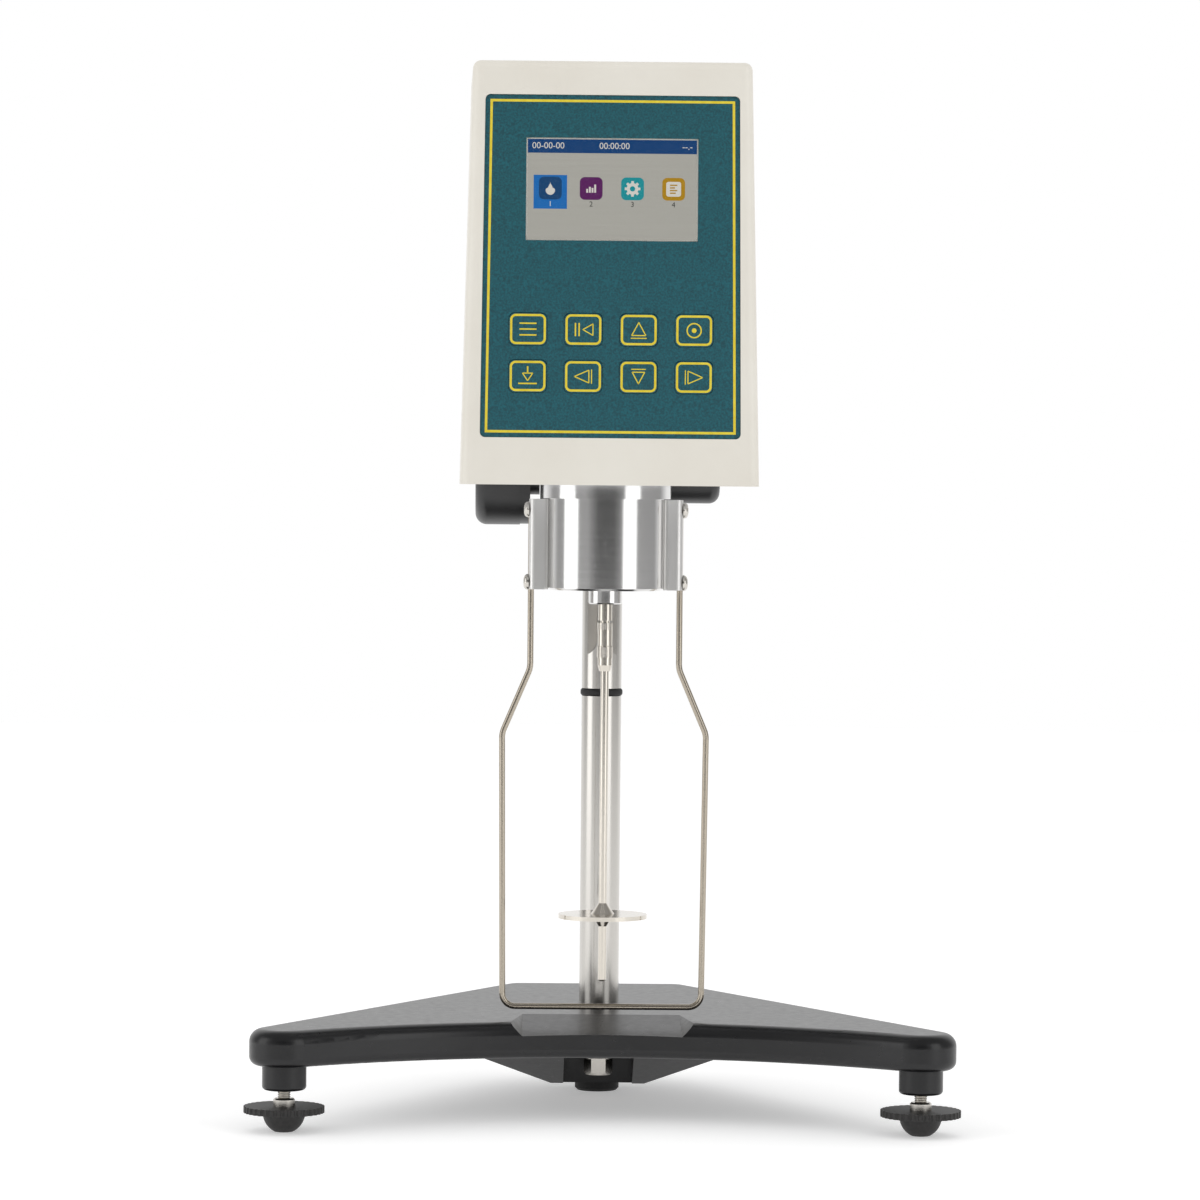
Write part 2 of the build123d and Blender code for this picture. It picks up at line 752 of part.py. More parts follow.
# Rear cover: long corner tubes for the cover screws, and holes for the carriage screws and sockets
with BuildPart() as rear_cover:
    add(housing.part)
    add(head_hollow, mode=Mode.SUBTRACT)
    for x, z in cover_boss_places():
        back_rod(cover_boss_radius, parting_y, rear_inner_y, x, z)
    for side in (-1, 1):
        for z in (main_board_bottom + main_board_post_inset, main_board_top - main_board_post_inset):
            back_rod(spacer_radius, main_board_y, rear_inner_y,
                     side * (main_board_width / 2 - main_board_post_inset), z)
    add(housing.part, mode=Mode.INTERSECT)
    split(bisect_by=parting_plane, keep=Keep.BOTTOM)
    for x, z in cover_boss_places():
        back_rod(m3_radius, parting_y, parting_y + cover_screw_grip, x, z, Mode.SUBTRACT)
        back_rod(m3_head_radius + seat_gap, parting_y + cover_screw_grip, head_rear_y, x, z,
                 Mode.SUBTRACT)
    for x in (-carriage_screw_x, carriage_screw_x):
        for z in carriage_screw_zs:
            back_rod(m4_radius, rear_inner_y, head_rear_y, x, z, Mode.SUBTRACT)
    with BuildSketch(rear_plane):
        with Locations((-switch_x, socket_row_z)):
            Rectangle(switch_width, switch_height)
        with Locations((-inlet_x, socket_row_z)):
            Circle(inlet_radius)
        with Locations((-probe_x, socket_row_z)):
            Circle(probe_radius)
        with Locations((-data_x, socket_row_z)):
            Rectangle(data_shell_width, data_shell_height)
    extrude(amount=-head_wall, mode=Mode.SUBTRACT)
    rod(level_radius, head_top - head_wall, head_top, y=level_y, mode=Mode.SUBTRACT)
save(rear_cover.part, "rear_cover")

# Printed panel, with windows for the screen and the keys
with BuildPart() as panel_overlay:
    with BuildSketch(face_plane(recess_depth)):
        panel_outline(0)
        with Locations((0, screen_up)):
            Rectangle(screen_width, screen_height, mode=Mode.SUBTRACT)
        with Locations((0, -keypad_down)):
            with GridLocations(key_pitch_x, key_pitch_y, key_columns, key_rows):
                RectangleRounded(key_width + 2 * key_gap, key_height + 2 * key_gap, key_corner,
                                 mode=Mode.SUBTRACT)
    extrude(amount=overlay_thickness)
save(panel_overlay.part, "panel_overlay")

# Clear window that rests on the lip of the screen opening
with BuildPart() as display_window:
    with BuildSketch(face_plane(recess_depth)):
        with Locations((0, screen_up)):
            Rectangle(screen_width - 2 * panel_gap, screen_height - 2 * panel_gap)
    extrude(amount=overlay_thickness - panel_gap)
save(display_window.part, "display_window")

# Colour display against the back of the front wall, its glass raised into the wall's opening
with BuildPart() as display_module:
    with BuildSketch(face_plane(head_wall)):
        with Locations((0, screen_up)):
            Rectangle(display_width, display_height)
    extrude(amount=-display_thickness)
    with BuildSketch(face_plane(head_wall)):
        with Locations((0, screen_up)):
            Rectangle(screen_width - 2 * screen_lip - 2 * panel_gap,
                      screen_height - 2 * screen_lip - 2 * panel_gap)
    extrude(amount=head_wall - recess_depth - seat_gap)
save(display_module.part, "display_module")

# Switch board with a snap dome under each key
board_front = head_wall + board_gap
with BuildPart() as key_board:
    with BuildSketch(face_plane(board_front)):
        with Locations((0, -keypad_down)):
            Rectangle(key_board_width, key_board_height)
    extrude(amount=-board_thickness)
    with BuildSketch(face_plane(board_front)):
        with Locations((0, -keypad_down)):
            with GridLocations(key_pitch_x, key_pitch_y, key_columns, key_rows):
                Circle(dome_radius)
    extrude(amount=dome_height)
save(key_board.part, "key_board")

# Eight keys, each free to travel in its window, bottom row first
key_names = (("save", "left", "down", "right"), ("menu", "back", "up", "ok"))
key_back = board_front - dome_height - key_travel - dome_gap
key_front = recess_depth - overlay_thickness - key_proud
for row, row_names in enumerate(key_names):
    for column, key_name in enumerate(row_names):
        key_x = (column - (key_columns - 1) / 2) * key_pitch_x
        key_y = (row - (key_rows - 1) / 2) * key_pitch_y - keypad_down
        with BuildPart() as key:
            with BuildSketch(face_plane(key_back)):
                with Locations((key_x, key_y)):
                    RectangleRounded(key_width, key_height, key_corner)
            extrude(amount=key_back - key_front)
            chamfer(faces().sort_by(Axis.Y)[0].edges(), length=key_edge)
        save(key.part, f"key_{key_name}")

# Main board on its four posts
with BuildPart() as main_board:
    with Locations((0, main_board_y, (main_board_bottom + main_board_top) / 2)):
        Box(main_board_width, board_thickness, main_board_top - main_board_bottom,
            align=(Align.CENTER, Align.MAX, Align.CENTER))
save(main_board.part, "main_board")

# Chassis: a floor plate that closes the housing and an upright that the carriage is bolted to
cup_screw_places = [(cup_screw_circle * cos(radians(angle)),
                     spindle_y + cup_screw_circle * sin(radians(angle))) for angle in cup_screw_angles]
with BuildPart() as chassis:
    with BuildSketch(Plane.XY.offset(head_bottom)):
        head_outline(head_bottom, head_wall + seat_gap)
    extrude(amount=chassis_thickness)
    with Locations((0, rear_inner_y, head_bottom)):
        Box(2 * upright_half_width, upright_thickness, upright_top - head_bottom,
            align=(Align.CENTER, Align.MAX, Align.MIN))
    rod(shaft_opening_radius, head_bottom, chassis_top, mode=Mode.SUBTRACT)
    for x, y in cup_screw_places:
        rod(m3_radius, head_bottom, chassis_top, x, y, Mode.SUBTRACT)
    for x in (-carriage_screw_x, carriage_screw_x):
        for z in carriage_screw_zs:
            back_rod(m4_radius, rear_inner_y - upright_thickness, rear_inner_y, x, z, Mode.SUBTRACT)
save(chassis.part, "chassis")

# Bridge over the encoder discs that carries the motor
bridge_bottom = bridge_top - bridge_thickness
with BuildPart() as motor_bridge:
    with BuildSketch(Plane(origin=(0, spindle_y, 0), x_dir=(1, 0, 0), z_dir=(0, -1, 0))):
        with Locations((0, bridge_top)):
            Rectangle(2 * bridge_half_x, bridge_thickness, align=(Align.CENTER, Align.MAX))
        for side in (-1, 1):
            with Locations((side * (bridge_half_x - bridge_leg / 2), chassis_top)):
                Rectangle(bridge_leg, bridge_bottom - chassis_top, align=(Align.CENTER, Align.MIN))
            with Locations((side * (bridge_half_x - bridge_leg + bridge_foot / 2), chassis_top)):
                Rectangle(bridge_foot, bridge_leg, align=(Align.CENTER, Align.MIN))
    extrude(amount=bridge_half_y, both=True)
    rod(drive_hub_radius + seat_gap, bridge_bottom, bridge_top, mode=Mode.SUBTRACT)
save(motor_bridge.part, "motor_bridge")

# Geared stepping motor
motor_top = bridge_top + motor_height
with BuildPart() as motor:
    with BuildSketch(Plane.XY.offset(bridge_top)):
        with Locations((0, spindle_y)):
            RectangleRounded(motor_side, motor_side, motor_corner)
            Circle(drive_radius + slide_gap, mode=Mode.SUBTRACT)
    extrude(amount=motor_height)
save(motor.part, "motor")

# Drive shaft, which also guides the top of the measuring shaft in its hub
with BuildPart() as drive_shaft:
    guide_radius = shaft_radius + slide_gap
    guide_top = shaft_top + seat_gap
    turn_upright([(guide_radius, drive_hub_bottom), (drive_hub_radius, drive_hub_bottom),
                  (drive_hub_radius, drive_hub_top), (drive_radius, drive_hub_top),
                  (drive_radius, motor_top + drive_end), (0, motor_top + drive_end), (0, guide_top),
                  (guide_radius, guide_top)], 0, spindle_y)
save(drive_shaft.part, "drive_shaft")

# Upper encoder disc on the drive hub, with the stud that holds the hairspring's outer end
spring_stud_x = spring_outer_radius + spring_thickness / 2 + spring_stud_radius
with BuildPart() as upper_disc:
    rod(upper_disc_radius, upper_disc_z, upper_disc_z + encoder_thickness)
    rod(drive_hub_radius, upper_disc_z, upper_disc_z + encoder_thickness, mode=Mode.SUBTRACT)
    rod(spring_stud_radius, spring_z, upper_disc_z, spring_stud_x)
save(upper_disc.part, "upper_disc")

# Measuring shaft: eye for the coupling, stout shank, jewel journal, and collets for the lower
# disc and the hairspring
pin_middle_z = (upper_pin_z + lower_pin_z) / 2
neck_bottom = pin_middle_z + neck_end_gap / 2
with BuildPart() as pivot_shaft:
    turn_upright([(0, neck_bottom), (neck_radius, neck_bottom), (neck_radius, shank_bottom),
                  (shank_radius, shank_bottom), (shank_radius, journal_bottom),
                  (journal_radius, journal_bottom), (journal_radius, journal_top),
                  (shaft_radius, journal_top), (shaft_radius, lower_disc_z - collet_height),
                  (collet_radius, lower_disc_z - collet_height), (collet_radius, lower_disc_z),
                  (shaft_radius, lower_disc_z), (shaft_radius, spring_z),
                  (spring_inner_radius, spring_z), (spring_inner_radius, spring_z + spring_height),
                  (shaft_radius, spring_z + spring_height), (shaft_radius, shaft_top),
                  (0, shaft_top)], 0, spindle_y)
    back_rod(pin_radius + slide_gap, spindle_y - neck_radius, spindle_y + neck_radius, 0, upper_pin_z,
             Mode.SUBTRACT)
save(pivot_shaft.part, "pivot_shaft")

# Lower encoder disc on the measuring shaft
with BuildPart() as lower_disc:
    rod(lower_disc_radius, lower_disc_z, lower_disc_z + encoder_thickness)
    rod(shaft_radius, lower_disc_z, lower_disc_z + encoder_thickness, mode=Mode.SUBTRACT)
save(lower_disc.part, "lower_disc")


def spiral_point(step, shift):
    """A point along the hairspring, shifted outwards, counted in steps from its outer end."""
    share = step / (spring_turns * spring_steps)
    radius = spring_outer_radius + (spring_inner_radius - spring_outer_radius) * share + shift
    angle = 2 * pi * step / spring_steps
    return (radius * cos(angle), spindle_y + radius * sin(angle))


# Hairspring: a flat spiral from the stud in to the collet
with BuildPart() as hairspring:
    with BuildSketch(Plane.XY.offset(spring_z)):
        with BuildLine():
            steps = range(spring_turns * spring_steps + 1)
            outer_edge = [spiral_point(step, spring_thickness / 2) for step in steps]
            inner_edge = [spiral_point(step, -spring_thickness / 2) for step in reversed(steps)]
            Polyline(*outer_edge, *inner_edge, close=True)
        make_face()
        with Locations((0, spindle_y)):
            Circle(spring_inner_radius, mode=Mode.SUBTRACT)
    extrude(amount=spring_height)
save(hairspring.part, "hairspring")

# Slotted sensors on the bridge's leg, one over the edge of each encoder disc
with BuildPart() as photo_sensors:
    for disc_z, radius in ((lower_disc_z, lower_disc_radius), (upper_disc_z, upper_disc_radius)):
        sensor_back_x = bridge_half_x - bridge_leg
        middle_z = disc_z + encoder_thickness / 2
        with Locations((sensor_back_x, spindle_y, middle_z)):
            Box(sensor_back_x - radius + sensor_bite, sensor_width, sensor_height,
                align=(Align.MAX, Align.CENTER, Align.CENTER))
        with Locations((radius - sensor_bite, spindle_y, middle_z)):
            Box(sensor_bite + sensor_back, sensor_width, sensor_slot,
                align=(Align.MIN, Align.CENTER, Align.CENTER), mode=Mode.SUBTRACT)
save(photo_sensors.part, "photo_sensors")

# Polished pivot cup under the head
cup_floor_top = cup_bottom + cup_floor
with BuildPart() as pivot_cup:
    turn_upright([(nose_spigot_radius, cup_bottom), (cup_radius - cup_chamfer, cup_bottom),
                  (cup_radius, cup_bottom + cup_chamfer), (cup_radius, flange_bottom),
                  (flange_radius, flange_bottom), (flange_radius, head_bottom),
                  (cup_bore_radius, head_bottom), (cup_bore_radius, cup_floor_top),
                  (nose_spigot_radius, cup_floor_top)], 0, spindle_y)
    for x, y in cup_screw_places:
        rod(m3_radius, head_bottom - cup_screw_grip, head_bottom, x, y, Mode.SUBTRACT)
    for z in guard_screw_zs:
        for side in (-1, 1):
            crosswise_rod(m3_radius, *sorted((side * guard_screw_end, side * cup_radius)),
                          y=guard_screw_y, z=z, mode=Mode.SUBTRACT)
save(pivot_cup.part, "pivot_cup")

# Bearing nose in the floor of the cup, and the jewel ring pressed up into it
jewel_top = jewel_bottom + jewel_height
with BuildPart() as bearing_nose:
    turn_upright([(nose_bore_radius, nose_bottom), (nose_radius - nose_edge, nose_bottom),
                  (nose_radius, nose_bottom + nose_edge), (nose_radius, cup_bottom),
                  (nose_spigot_radius, cup_bottom), (nose_spigot_radius, cup_bottom + nose_spigot_length),
                  (nose_top_bore, cup_bottom + nose_spigot_length), (nose_top_bore, jewel_top),
                  (jewel_radius, jewel_top), (jewel_radius, jewel_bottom),
                  (nose_bore_radius, jewel_bottom)], 0, spindle_y)
save(bearing_nose.part, "bearing_nose")

with BuildPart() as jewel_bearing:
    rod(jewel_radius, jewel_bottom, jewel_top)
    rod(journal_radius + slide_gap, jewel_bottom, jewel_top, mode=Mode.SUBTRACT)
save(jewel_bearing.part, "jewel_bearing")

# Two bars that carry the guard, seated on the cup's side, with a groove for the wire
with BuildPart() as guard_bars:
    with BuildSketch(Plane.XY.offset(guard_bar_bottom)):
        for side in (-1, 1):
            with Locations((side * (guard_bar_inner + guard_bar_outer) / 2, spindle_y)):
                RectangleRounded(guard_bar_outer - guard_bar_inner, 2 * guard_bar_half_depth,
                                 guard_bar_corner)
            with Locations((side * wire_x, wire_y)):
                Circle(wire_radius + slide_gap, mode=Mode.SUBTRACT)
        with Locations((0, spindle_y)):
            Circle(cup_radius, mode=Mode.SUBTRACT)
    extrude(amount=guard_bar_top - guard_bar_bottom)
    for z in guard_screw_zs:
        for side in (-1, 1):
            crosswise_rod(m3_radius, *sorted((side * guard_bar_inner, side * guard_bar_outer)),
                          y=guard_screw_y, z=z, mode=Mode.SUBTRACT)
save(guard_bars.part, "guard_bars")

# Wire guard: one length of bent rod
with BuildPart() as guard_wire:
    with BuildLine(Plane(origin=(0, wire_y, 0), x_dir=(1, 0, 0), z_dir=(0, -1, 0))) as guard_path:
        FilletPolyline((-wire_x, wire_top), (-wire_x, wire_bend_top), (-wire_wide_x, wire_bend_bottom),
                       (-wire_low_x, wire_low_z), (wire_low_x, wire_low_z),
                       (wire_wide_x, wire_bend_bottom), (wire_x, wire_bend_top), (wire_x, wire_top),
                       radius=[wire_bend_radius, wire_bend_radius, wire_corner_radius,
                               wire_corner_radius, wire_bend_radius, wire_bend_radius])
    with BuildSketch(Plane(origin=guard_path.line @ 0, z_dir=guard_path.line % 0)):
        Circle(wire_radius)
    sweep()
save(guard_wire.part, "guard_wire")

# Pan-head screws that hold the guard bars
with BuildPart() as guard_screws:
    for z in guard_screw_zs:
        for side in (-1, 1):
            head_end = side * (guard_bar_outer + guard_head_height)
            crosswise_rod(m3_radius, *sorted((side * guard_screw_end, side * guard_bar_outer)),
                          y=guard_screw_y, z=z)
            crosswise_rod(guard_head_radius, *sorted((side * guard_bar_outer, head_end)),
                          y=guard_screw_y, z=z)
    rims = edges().filter_by(GeomType.CIRCLE).group_by(Axis.X)
    fillet(rims[0] + rims[-1], radius=guard_head_round)
save(guard_screws.part, "guard_screws")

# Small screws of the head: three hold the cup, four join the shells
with BuildPart() as m3_screws:
    for x, y in cup_screw_places:
        rod(m3_radius, head_bottom - cup_screw_grip, chassis_top, x, y)
        rod(m3_head_radius, chassis_top, chassis_top + m3_head_height, x, y)
    for x, z in cover_boss_places():
        head_y = parting_y + cover_screw_grip
        back_rod(m3_radius, parting_y - cover_screw_reach, head_y, x, z)
        back_rod(m3_head_radius, head_y, head_y + m3_head_height, x, z)
save(m3_screws.part, "m3_screws")

# Universal coupling: a sleeve with two crossed pins lets the spindle hang plumb
with BuildPart() as coupling_sleeve:
    turn_upright([(sleeve_bore_radius, sleeve_bottom), (sleeve_radius, sleeve_bottom),
                  (sleeve_radius, sleeve_top - knurl_height),
                  (sleeve_radius + knurl_rise, sleeve_top - knurl_height),
                  (sleeve_radius + knurl_rise, sleeve_top), (sleeve_bore_radius, sleeve_top)],
                 0, spindle_y)
    back_rod(pin_radius, spindle_y - sleeve_radius, spindle_y + sleeve_radius, 0, upper_pin_z,
             Mode.SUBTRACT)
    crosswise_rod(pin_radius, -sleeve_radius, sleeve_radius, spindle_y, lower_pin_z, Mode.SUBTRACT)
save(coupling_sleeve.part, "coupling_sleeve")

pin_half = sleeve_radius - pin_sink
with BuildPart() as coupling_pins:
    back_rod(pin_radius, spindle_y - pin_half, spindle_y + pin_half, 0, upper_pin_z)
    crosswise_rod(pin_radius, -pin_half, pin_half, spindle_y, lower_pin_z)
save(coupling_pins.part, "coupling_pins")

eye_top = pin_middle_z - neck_end_gap / 2
thread_bottom = hub_top - thread_length
with BuildPart() as coupling_screw:
    turn_upright([(0, thread_bottom), (thread_radius, thread_bottom), (thread_radius, hub_top),
                  (neck_radius, hub_top), (neck_radius, eye_top), (0, eye_top)], 0, spindle_y)
    crosswise_rod(pin_radius + slide_gap, -neck_radius, neck_radius, spindle_y, lower_pin_z,
                  Mode.SUBTRACT)
save(coupling_screw.part, "coupling_screw")

# Disc spindle with its immersion mark, and the threaded hub on its top
rod_top = thread_bottom - hub_web
with BuildPart() as spindle_hub:
    turn_upright([(rod_radius, hub_bottom), (hub_end_radius, hub_bottom),
                  (hub_plain_radius, hub_plain_bottom), (hub_plain_radius, hub_knurl_bottom),
                  (hub_radius, hub_knurl_bottom), (hub_radius, hub_top), (thread_radius, hub_top),
                  (thread_radius, thread_bottom), (0, thread_bottom), (0, rod_top),
                  (rod_radius, rod_top)], 0, spindle_y)
save(spindle_hub.part, "spindle_hub")

disc_top = disc_bottom + disc_thickness
mark_radius = rod_radius - mark_depth
with BuildPart() as disc_spindle:
    turn_upright([(0, rod_bottom), (rod_radius - rod_point, rod_bottom),
                  (rod_radius, rod_bottom + rod_point), (rod_radius, disc_bottom - lower_cone_height),
                  (lower_cone_radius, disc_bottom), (disc_radius, disc_bottom), (disc_radius, disc_top),
                  (upper_cone_radius, disc_top), (rod_radius, disc_top + upper_cone_height),
                  (rod_radius, mark_z - mark_height / 2), (mark_radius, mark_z - mark_height / 2),
                  (mark_radius, mark_z + mark_height / 2), (rod_radius, mark_z + mark_height / 2),
                  (rod_radius, rod_top), (0, rod_top)], 0, spindle_y)
save(disc_spindle.part, "disc_spindle")

# Carriage: slides on the post, holds the pinion across it, and bolts to the head
carriage_flange_y = head_rear_y + carriage_flange_thickness
with BuildPart() as carriage:
    with BuildSketch(Plane.XY.offset(carriage_bottom)):
        with Locations((0, post_y)):
            Circle(post_radius + carriage_wall)
        with Locations((0, carriage_flange_y - carriage_edge)):
            Rectangle(2 * carriage_half_width, post_y - carriage_flange_y + carriage_edge,
                      align=(Align.CENTER, Align.MIN))
    extrude(amount=carriage_top - carriage_bottom)
    with BuildSketch(rear_plane):
        with Locations((0, carriage_flange_bottom)):
            Rectangle(2 * carriage_flange_half, carriage_flange_top - carriage_flange_bottom,
                      align=(Align.CENTER, Align.MIN))
    extrude(amount=carriage_flange_thickness)
    fillet(edges().filter_by(Axis.Y).group_by(Axis.Z)[-1], radius=carriage_flange_round)
    crosswise_rod(pinion_boss_radius, pinion_boss_left, pinion_boss_right)
    rod(post_radius + slide_gap, carriage_bottom, carriage_top, y=post_y, mode=Mode.SUBTRACT)
    crosswise_rod(pinion_chamber_radius, pinion_boss_left, pinion_chamber_right, mode=Mode.SUBTRACT)
    crosswise_rod(pinion_shaft_radius + slide_gap, pinion_chamber_right, shaft_chamber_right,
                  mode=Mode.SUBTRACT)
    crosswise_rod(tension_stud_radius + slide_gap, shaft_chamber_right, pinion_boss_right,
                  mode=Mode.SUBTRACT)
    for x in (-carriage_screw_x, carriage_screw_x):
        for z in carriage_screw_zs:
            back_rod(m4_radius, head_rear_y, carriage_flange_y, x, z, Mode.SUBTRACT)
save(carriage.part, "carriage")

with BuildPart() as carriage_screws:
    for x in (-carriage_screw_x, carriage_screw_x):
        for z in carriage_screw_zs:
            back_rod(m4_radius, rear_inner_y - upright_thickness, carriage_flange_y, x, z)
            back_rod(m4_head_radius, carriage_flange_y, carriage_flange_y + m4_head_height, x, z)
save(carriage_screws.part, "carriage_screws")

# Bush that closes the pinion's chamber on the knob's side
with BuildPart() as pinion_bush:
    crosswise_rod(pinion_chamber_radius, pinion_boss_left, bush_end)
    crosswise_rod(pinion_shaft_radius + slide_gap, pinion_boss_left, bush_end, mode=Mode.SUBTRACT)
save(pinion_bush.part, "pinion_bush")


def tooth_half_angle(radius):
    """Half the angle that a pinion tooth fills at a radius, for an involute flank."""
    base_radius = pinion_pitch_radius * cos(radians(pressure_angle))
    flank_angle = acos(min(1.0, base_radius / radius))
    pitch_angle = radians(pressure_angle)
    involute = (tan(pitch_angle) - pitch_angle) - (tan(flank_angle) - flank_angle)
    return (pi * gear_module / 2 - tooth_backlash) / (2 * pinion_pitch_radius) + involute


# Pinion shaft: one tooth points at the rack's middle gap at rest
tooth_radii = [pinion_pitch_radius + gear_module * level for level in pinion_levels]
with BuildPart() as pinion_shaft:
    crosswise_rod(pinion_shaft_radius, height_knob_inner - knob_grip, pinion_shaft_end)
    with BuildSketch(Plane.YZ.offset(-pinion_face / 2)):
        with BuildLine():
            tooth_points = []
            for tooth in range(pinion_teeth):
                middle = 2 * pi * tooth / pinion_teeth
                flank_points = [(radius, tooth_half_angle(radius)) for radius in tooth_radii]
                corners = ([(radius, middle - half) for radius, half in flank_points]
                           + [(radius, middle + half) for radius, half in reversed(flank_points)])
                tooth_points += [(pinion_y + radius * cos(angle), pinion_z + radius * sin(angle))
                                 for radius, angle in corners]
            Polyline(*tooth_points, close=True)
        make_face()
    extrude(amount=pinion_face)
save(pinion_shaft.part, "pinion_shaft")

# Height knob on the left end of the pinion shaft
knob_plane = Plane(origin=(0, pinion_y, pinion_z), x_dir=(1, 0, 0), z_dir=(0, -1, 0))
with BuildPart() as height_knob:
    with BuildSketch(knob_plane) as knob_half:
        with Locations((height_knob_inner, 0)):
            Rectangle(height_knob_length, height_knob_radius, align=(Align.MAX, Align.MIN))
        fillet(knob_half.vertices().group_by(Axis.X)[0].sort_by(Axis.Y)[-1], radius=height_knob_round)
        with Locations((height_knob_inner, height_knob_radius)):
            Rectangle(height_knob_step, height_knob_step_depth, align=(Align.MAX, Align.MAX),
                      mode=Mode.SUBTRACT)
        with Locations((pinion_boss_left - seat_gap, 0)):
            Rectangle(pinion_boss_left - seat_gap - height_knob_inner, knob_hub_radius,
                      align=(Align.MAX, Align.MIN))
    revolve(axis=pinion_axis)
    crosswise_rod(pinion_shaft_radius, height_knob_inner - knob_grip, pinion_boss_left, mode=Mode.SUBTRACT)
save(height_knob.part, "height_knob")

# Tension knob, moulded on the screw that presses the pinion shaft's end
with BuildPart() as tension_knob:
    with BuildSketch(knob_plane) as grip_half:
        with Locations((tension_knob_inner, 0)):
            Rectangle(tension_knob_length, tension_knob_radius, align=Align.MIN)
        fillet(grip_half.vertices().group_by(Axis.X)[-1].sort_by(Axis.Y)[-1], radius=tension_knob_round)
        with Locations((pinion_shaft_end + seat_gap, 0)):
            Rectangle(tension_knob_inner - pinion_shaft_end - seat_gap, tension_stud_radius,
                      align=Align.MIN)
    revolve(axis=pinion_axis)
save(tension_knob.part, "tension_knob")

# Mains switch: a frame in the rear wall with its rocker on a pin
rocker_y = head_rear_y - rocker_sink
with BuildPart() as power_switch:
    with BuildSketch(rear_plane):
        with Locations((-switch_x, socket_row_z)):
            Rectangle(switch_width + 2 * switch_flange, switch_height + 2 * switch_flange)
    extrude(amount=switch_flange_thickness)
    with BuildSketch(rear_plane):
        with Locations((-switch_x, socket_row_z)):
            Rectangle(switch_width, switch_height)
    extrude(amount=-switch_depth)
    with BuildSketch(rear_plane.offset(switch_flange_thickness)):
        with Locations((-switch_x, socket_row_z)):
            Rectangle(rocker_width + 2 * rocker_gap, switch_height - 2 * switch_wall)
    extrude(amount=-switch_depth, mode=Mode.SUBTRACT)
    crosswise_rod(rocker_pivot_radius, switch_x - switch_width / 2, switch_x + switch_width / 2,
                  rocker_y, socket_row_z)
save(power_switch.part, "power_switch")

rocker_out = (0, cos(radians(rocker_angle)), sin(radians(rocker_angle)))
with BuildPart() as switch_rocker:
    with BuildSketch(Plane(origin=(switch_x - rocker_width / 2, rocker_y, socket_row_z),
                           x_dir=rocker_out, z_dir=(1, 0, 0))):
        Polygon((-rocker_keel, -rocker_keel), (rocker_face / 2, -rocker_half_height),
                (rocker_face, -rocker_half_height), (rocker_face - rocker_hollow, 0),
                (rocker_face, rocker_half_height), (rocker_face / 2, rocker_half_height),
                (-rocker_keel, rocker_keel), align=None)
        Circle(rocker_pivot_radius + slide_gap, mode=Mode.SUBTRACT)
    extrude(amount=rocker_width)
save(switch_rocker.part, "switch_rocker")

# Sockets in the rear wall: supply inlet with its centre pin, probe socket and data socket
socket_face_y = head_rear_y + socket_flange_thickness
with BuildPart() as power_inlet:
    back_rod(inlet_flange_radius, head_rear_y, socket_face_y, inlet_x, socket_row_z)
    back_rod(inlet_radius, head_rear_y - inlet_depth, head_rear_y, inlet_x, socket_row_z)
    back_rod(inlet_bore_radius, socket_face_y - inlet_bore_depth, socket_face_y, inlet_x, socket_row_z,
             Mode.SUBTRACT)
    back_rod(inlet_pin_radius, head_rear_y - inlet_depth, head_rear_y, inlet_x, socket_row_z)
save(power_inlet.part, "power_inlet")

with BuildPart() as probe_socket:
    back_rod(probe_flange_radius, head_rear_y, socket_face_y, probe_x, socket_row_z)
    back_rod(probe_radius, head_rear_y - probe_depth, head_rear_y, probe_x, socket_row_z)
    back_rod(probe_bore_radius, socket_face_y - probe_depth, socket_face_y, probe_x, socket_row_z,
             Mode.SUBTRACT)
save(probe_socket.part, "probe_socket")

with BuildPart() as data_socket:
    with BuildSketch(rear_plane):
        with Locations((-data_x, socket_row_z)):
            Rectangle(data_flange_width, data_flange_height)
    extrude(amount=data_flange_thickness)
    with BuildSketch(rear_plane):
        with Locations((-data_x, socket_row_z)):
            Trapezoid(data_shell_width, data_shell_height, 90 - data_shell_slope)
    extrude(amount=data_shell_depth)
    with BuildSketch(rear_plane):
        with Locations((-data_x, socket_row_z)):
            Rectangle(data_shell_width, data_shell_height)
    extrude(amount=-data_body_depth)
    for side in (-1, 1):
        back_rod(jack_screw_radius, head_rear_y + data_flange_thickness, head_rear_y + jack_screw_length,
                 data_x + side * jack_screw_pitch / 2, socket_row_z)
save(data_socket.part, "data_socket")

# Bull's-eye level let into the top of the head
with BuildPart() as level_case:
    rod(level_radius, head_top - level_depth, head_top, y=level_y)
    rod(level_flange_radius, head_top, head_top + level_flange_thickness, y=level_y)
    rod(vial_radius, head_top - vial_depth, head_top + level_flange_thickness, y=level_y,
        mode=Mode.SUBTRACT)
save(level_case.part, "level_case")

with BuildPart() as level_vial:
    rod(vial_radius, head_top - vial_depth, head_top + level_flange_thickness - vial_sink, y=level_y)
save(level_vial.part, "level_vial")
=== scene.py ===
# %% [markdown]
# # A bench viscometer, dressed in Blender
#
# The instrument hangs a disc spindle from a head that slides on a rack post. Its hard parts come
# ready made from the CAD frame, so this lesson is about finishes and small additions: the printed
# panel, the lit screen, the knurls, the screw heads and the threads on the feet.

# %% The frame
import json
from contextlib import contextmanager
from math import cos, pi, radians, sin, sqrt

import bpy
from mathutils import Matrix, Vector


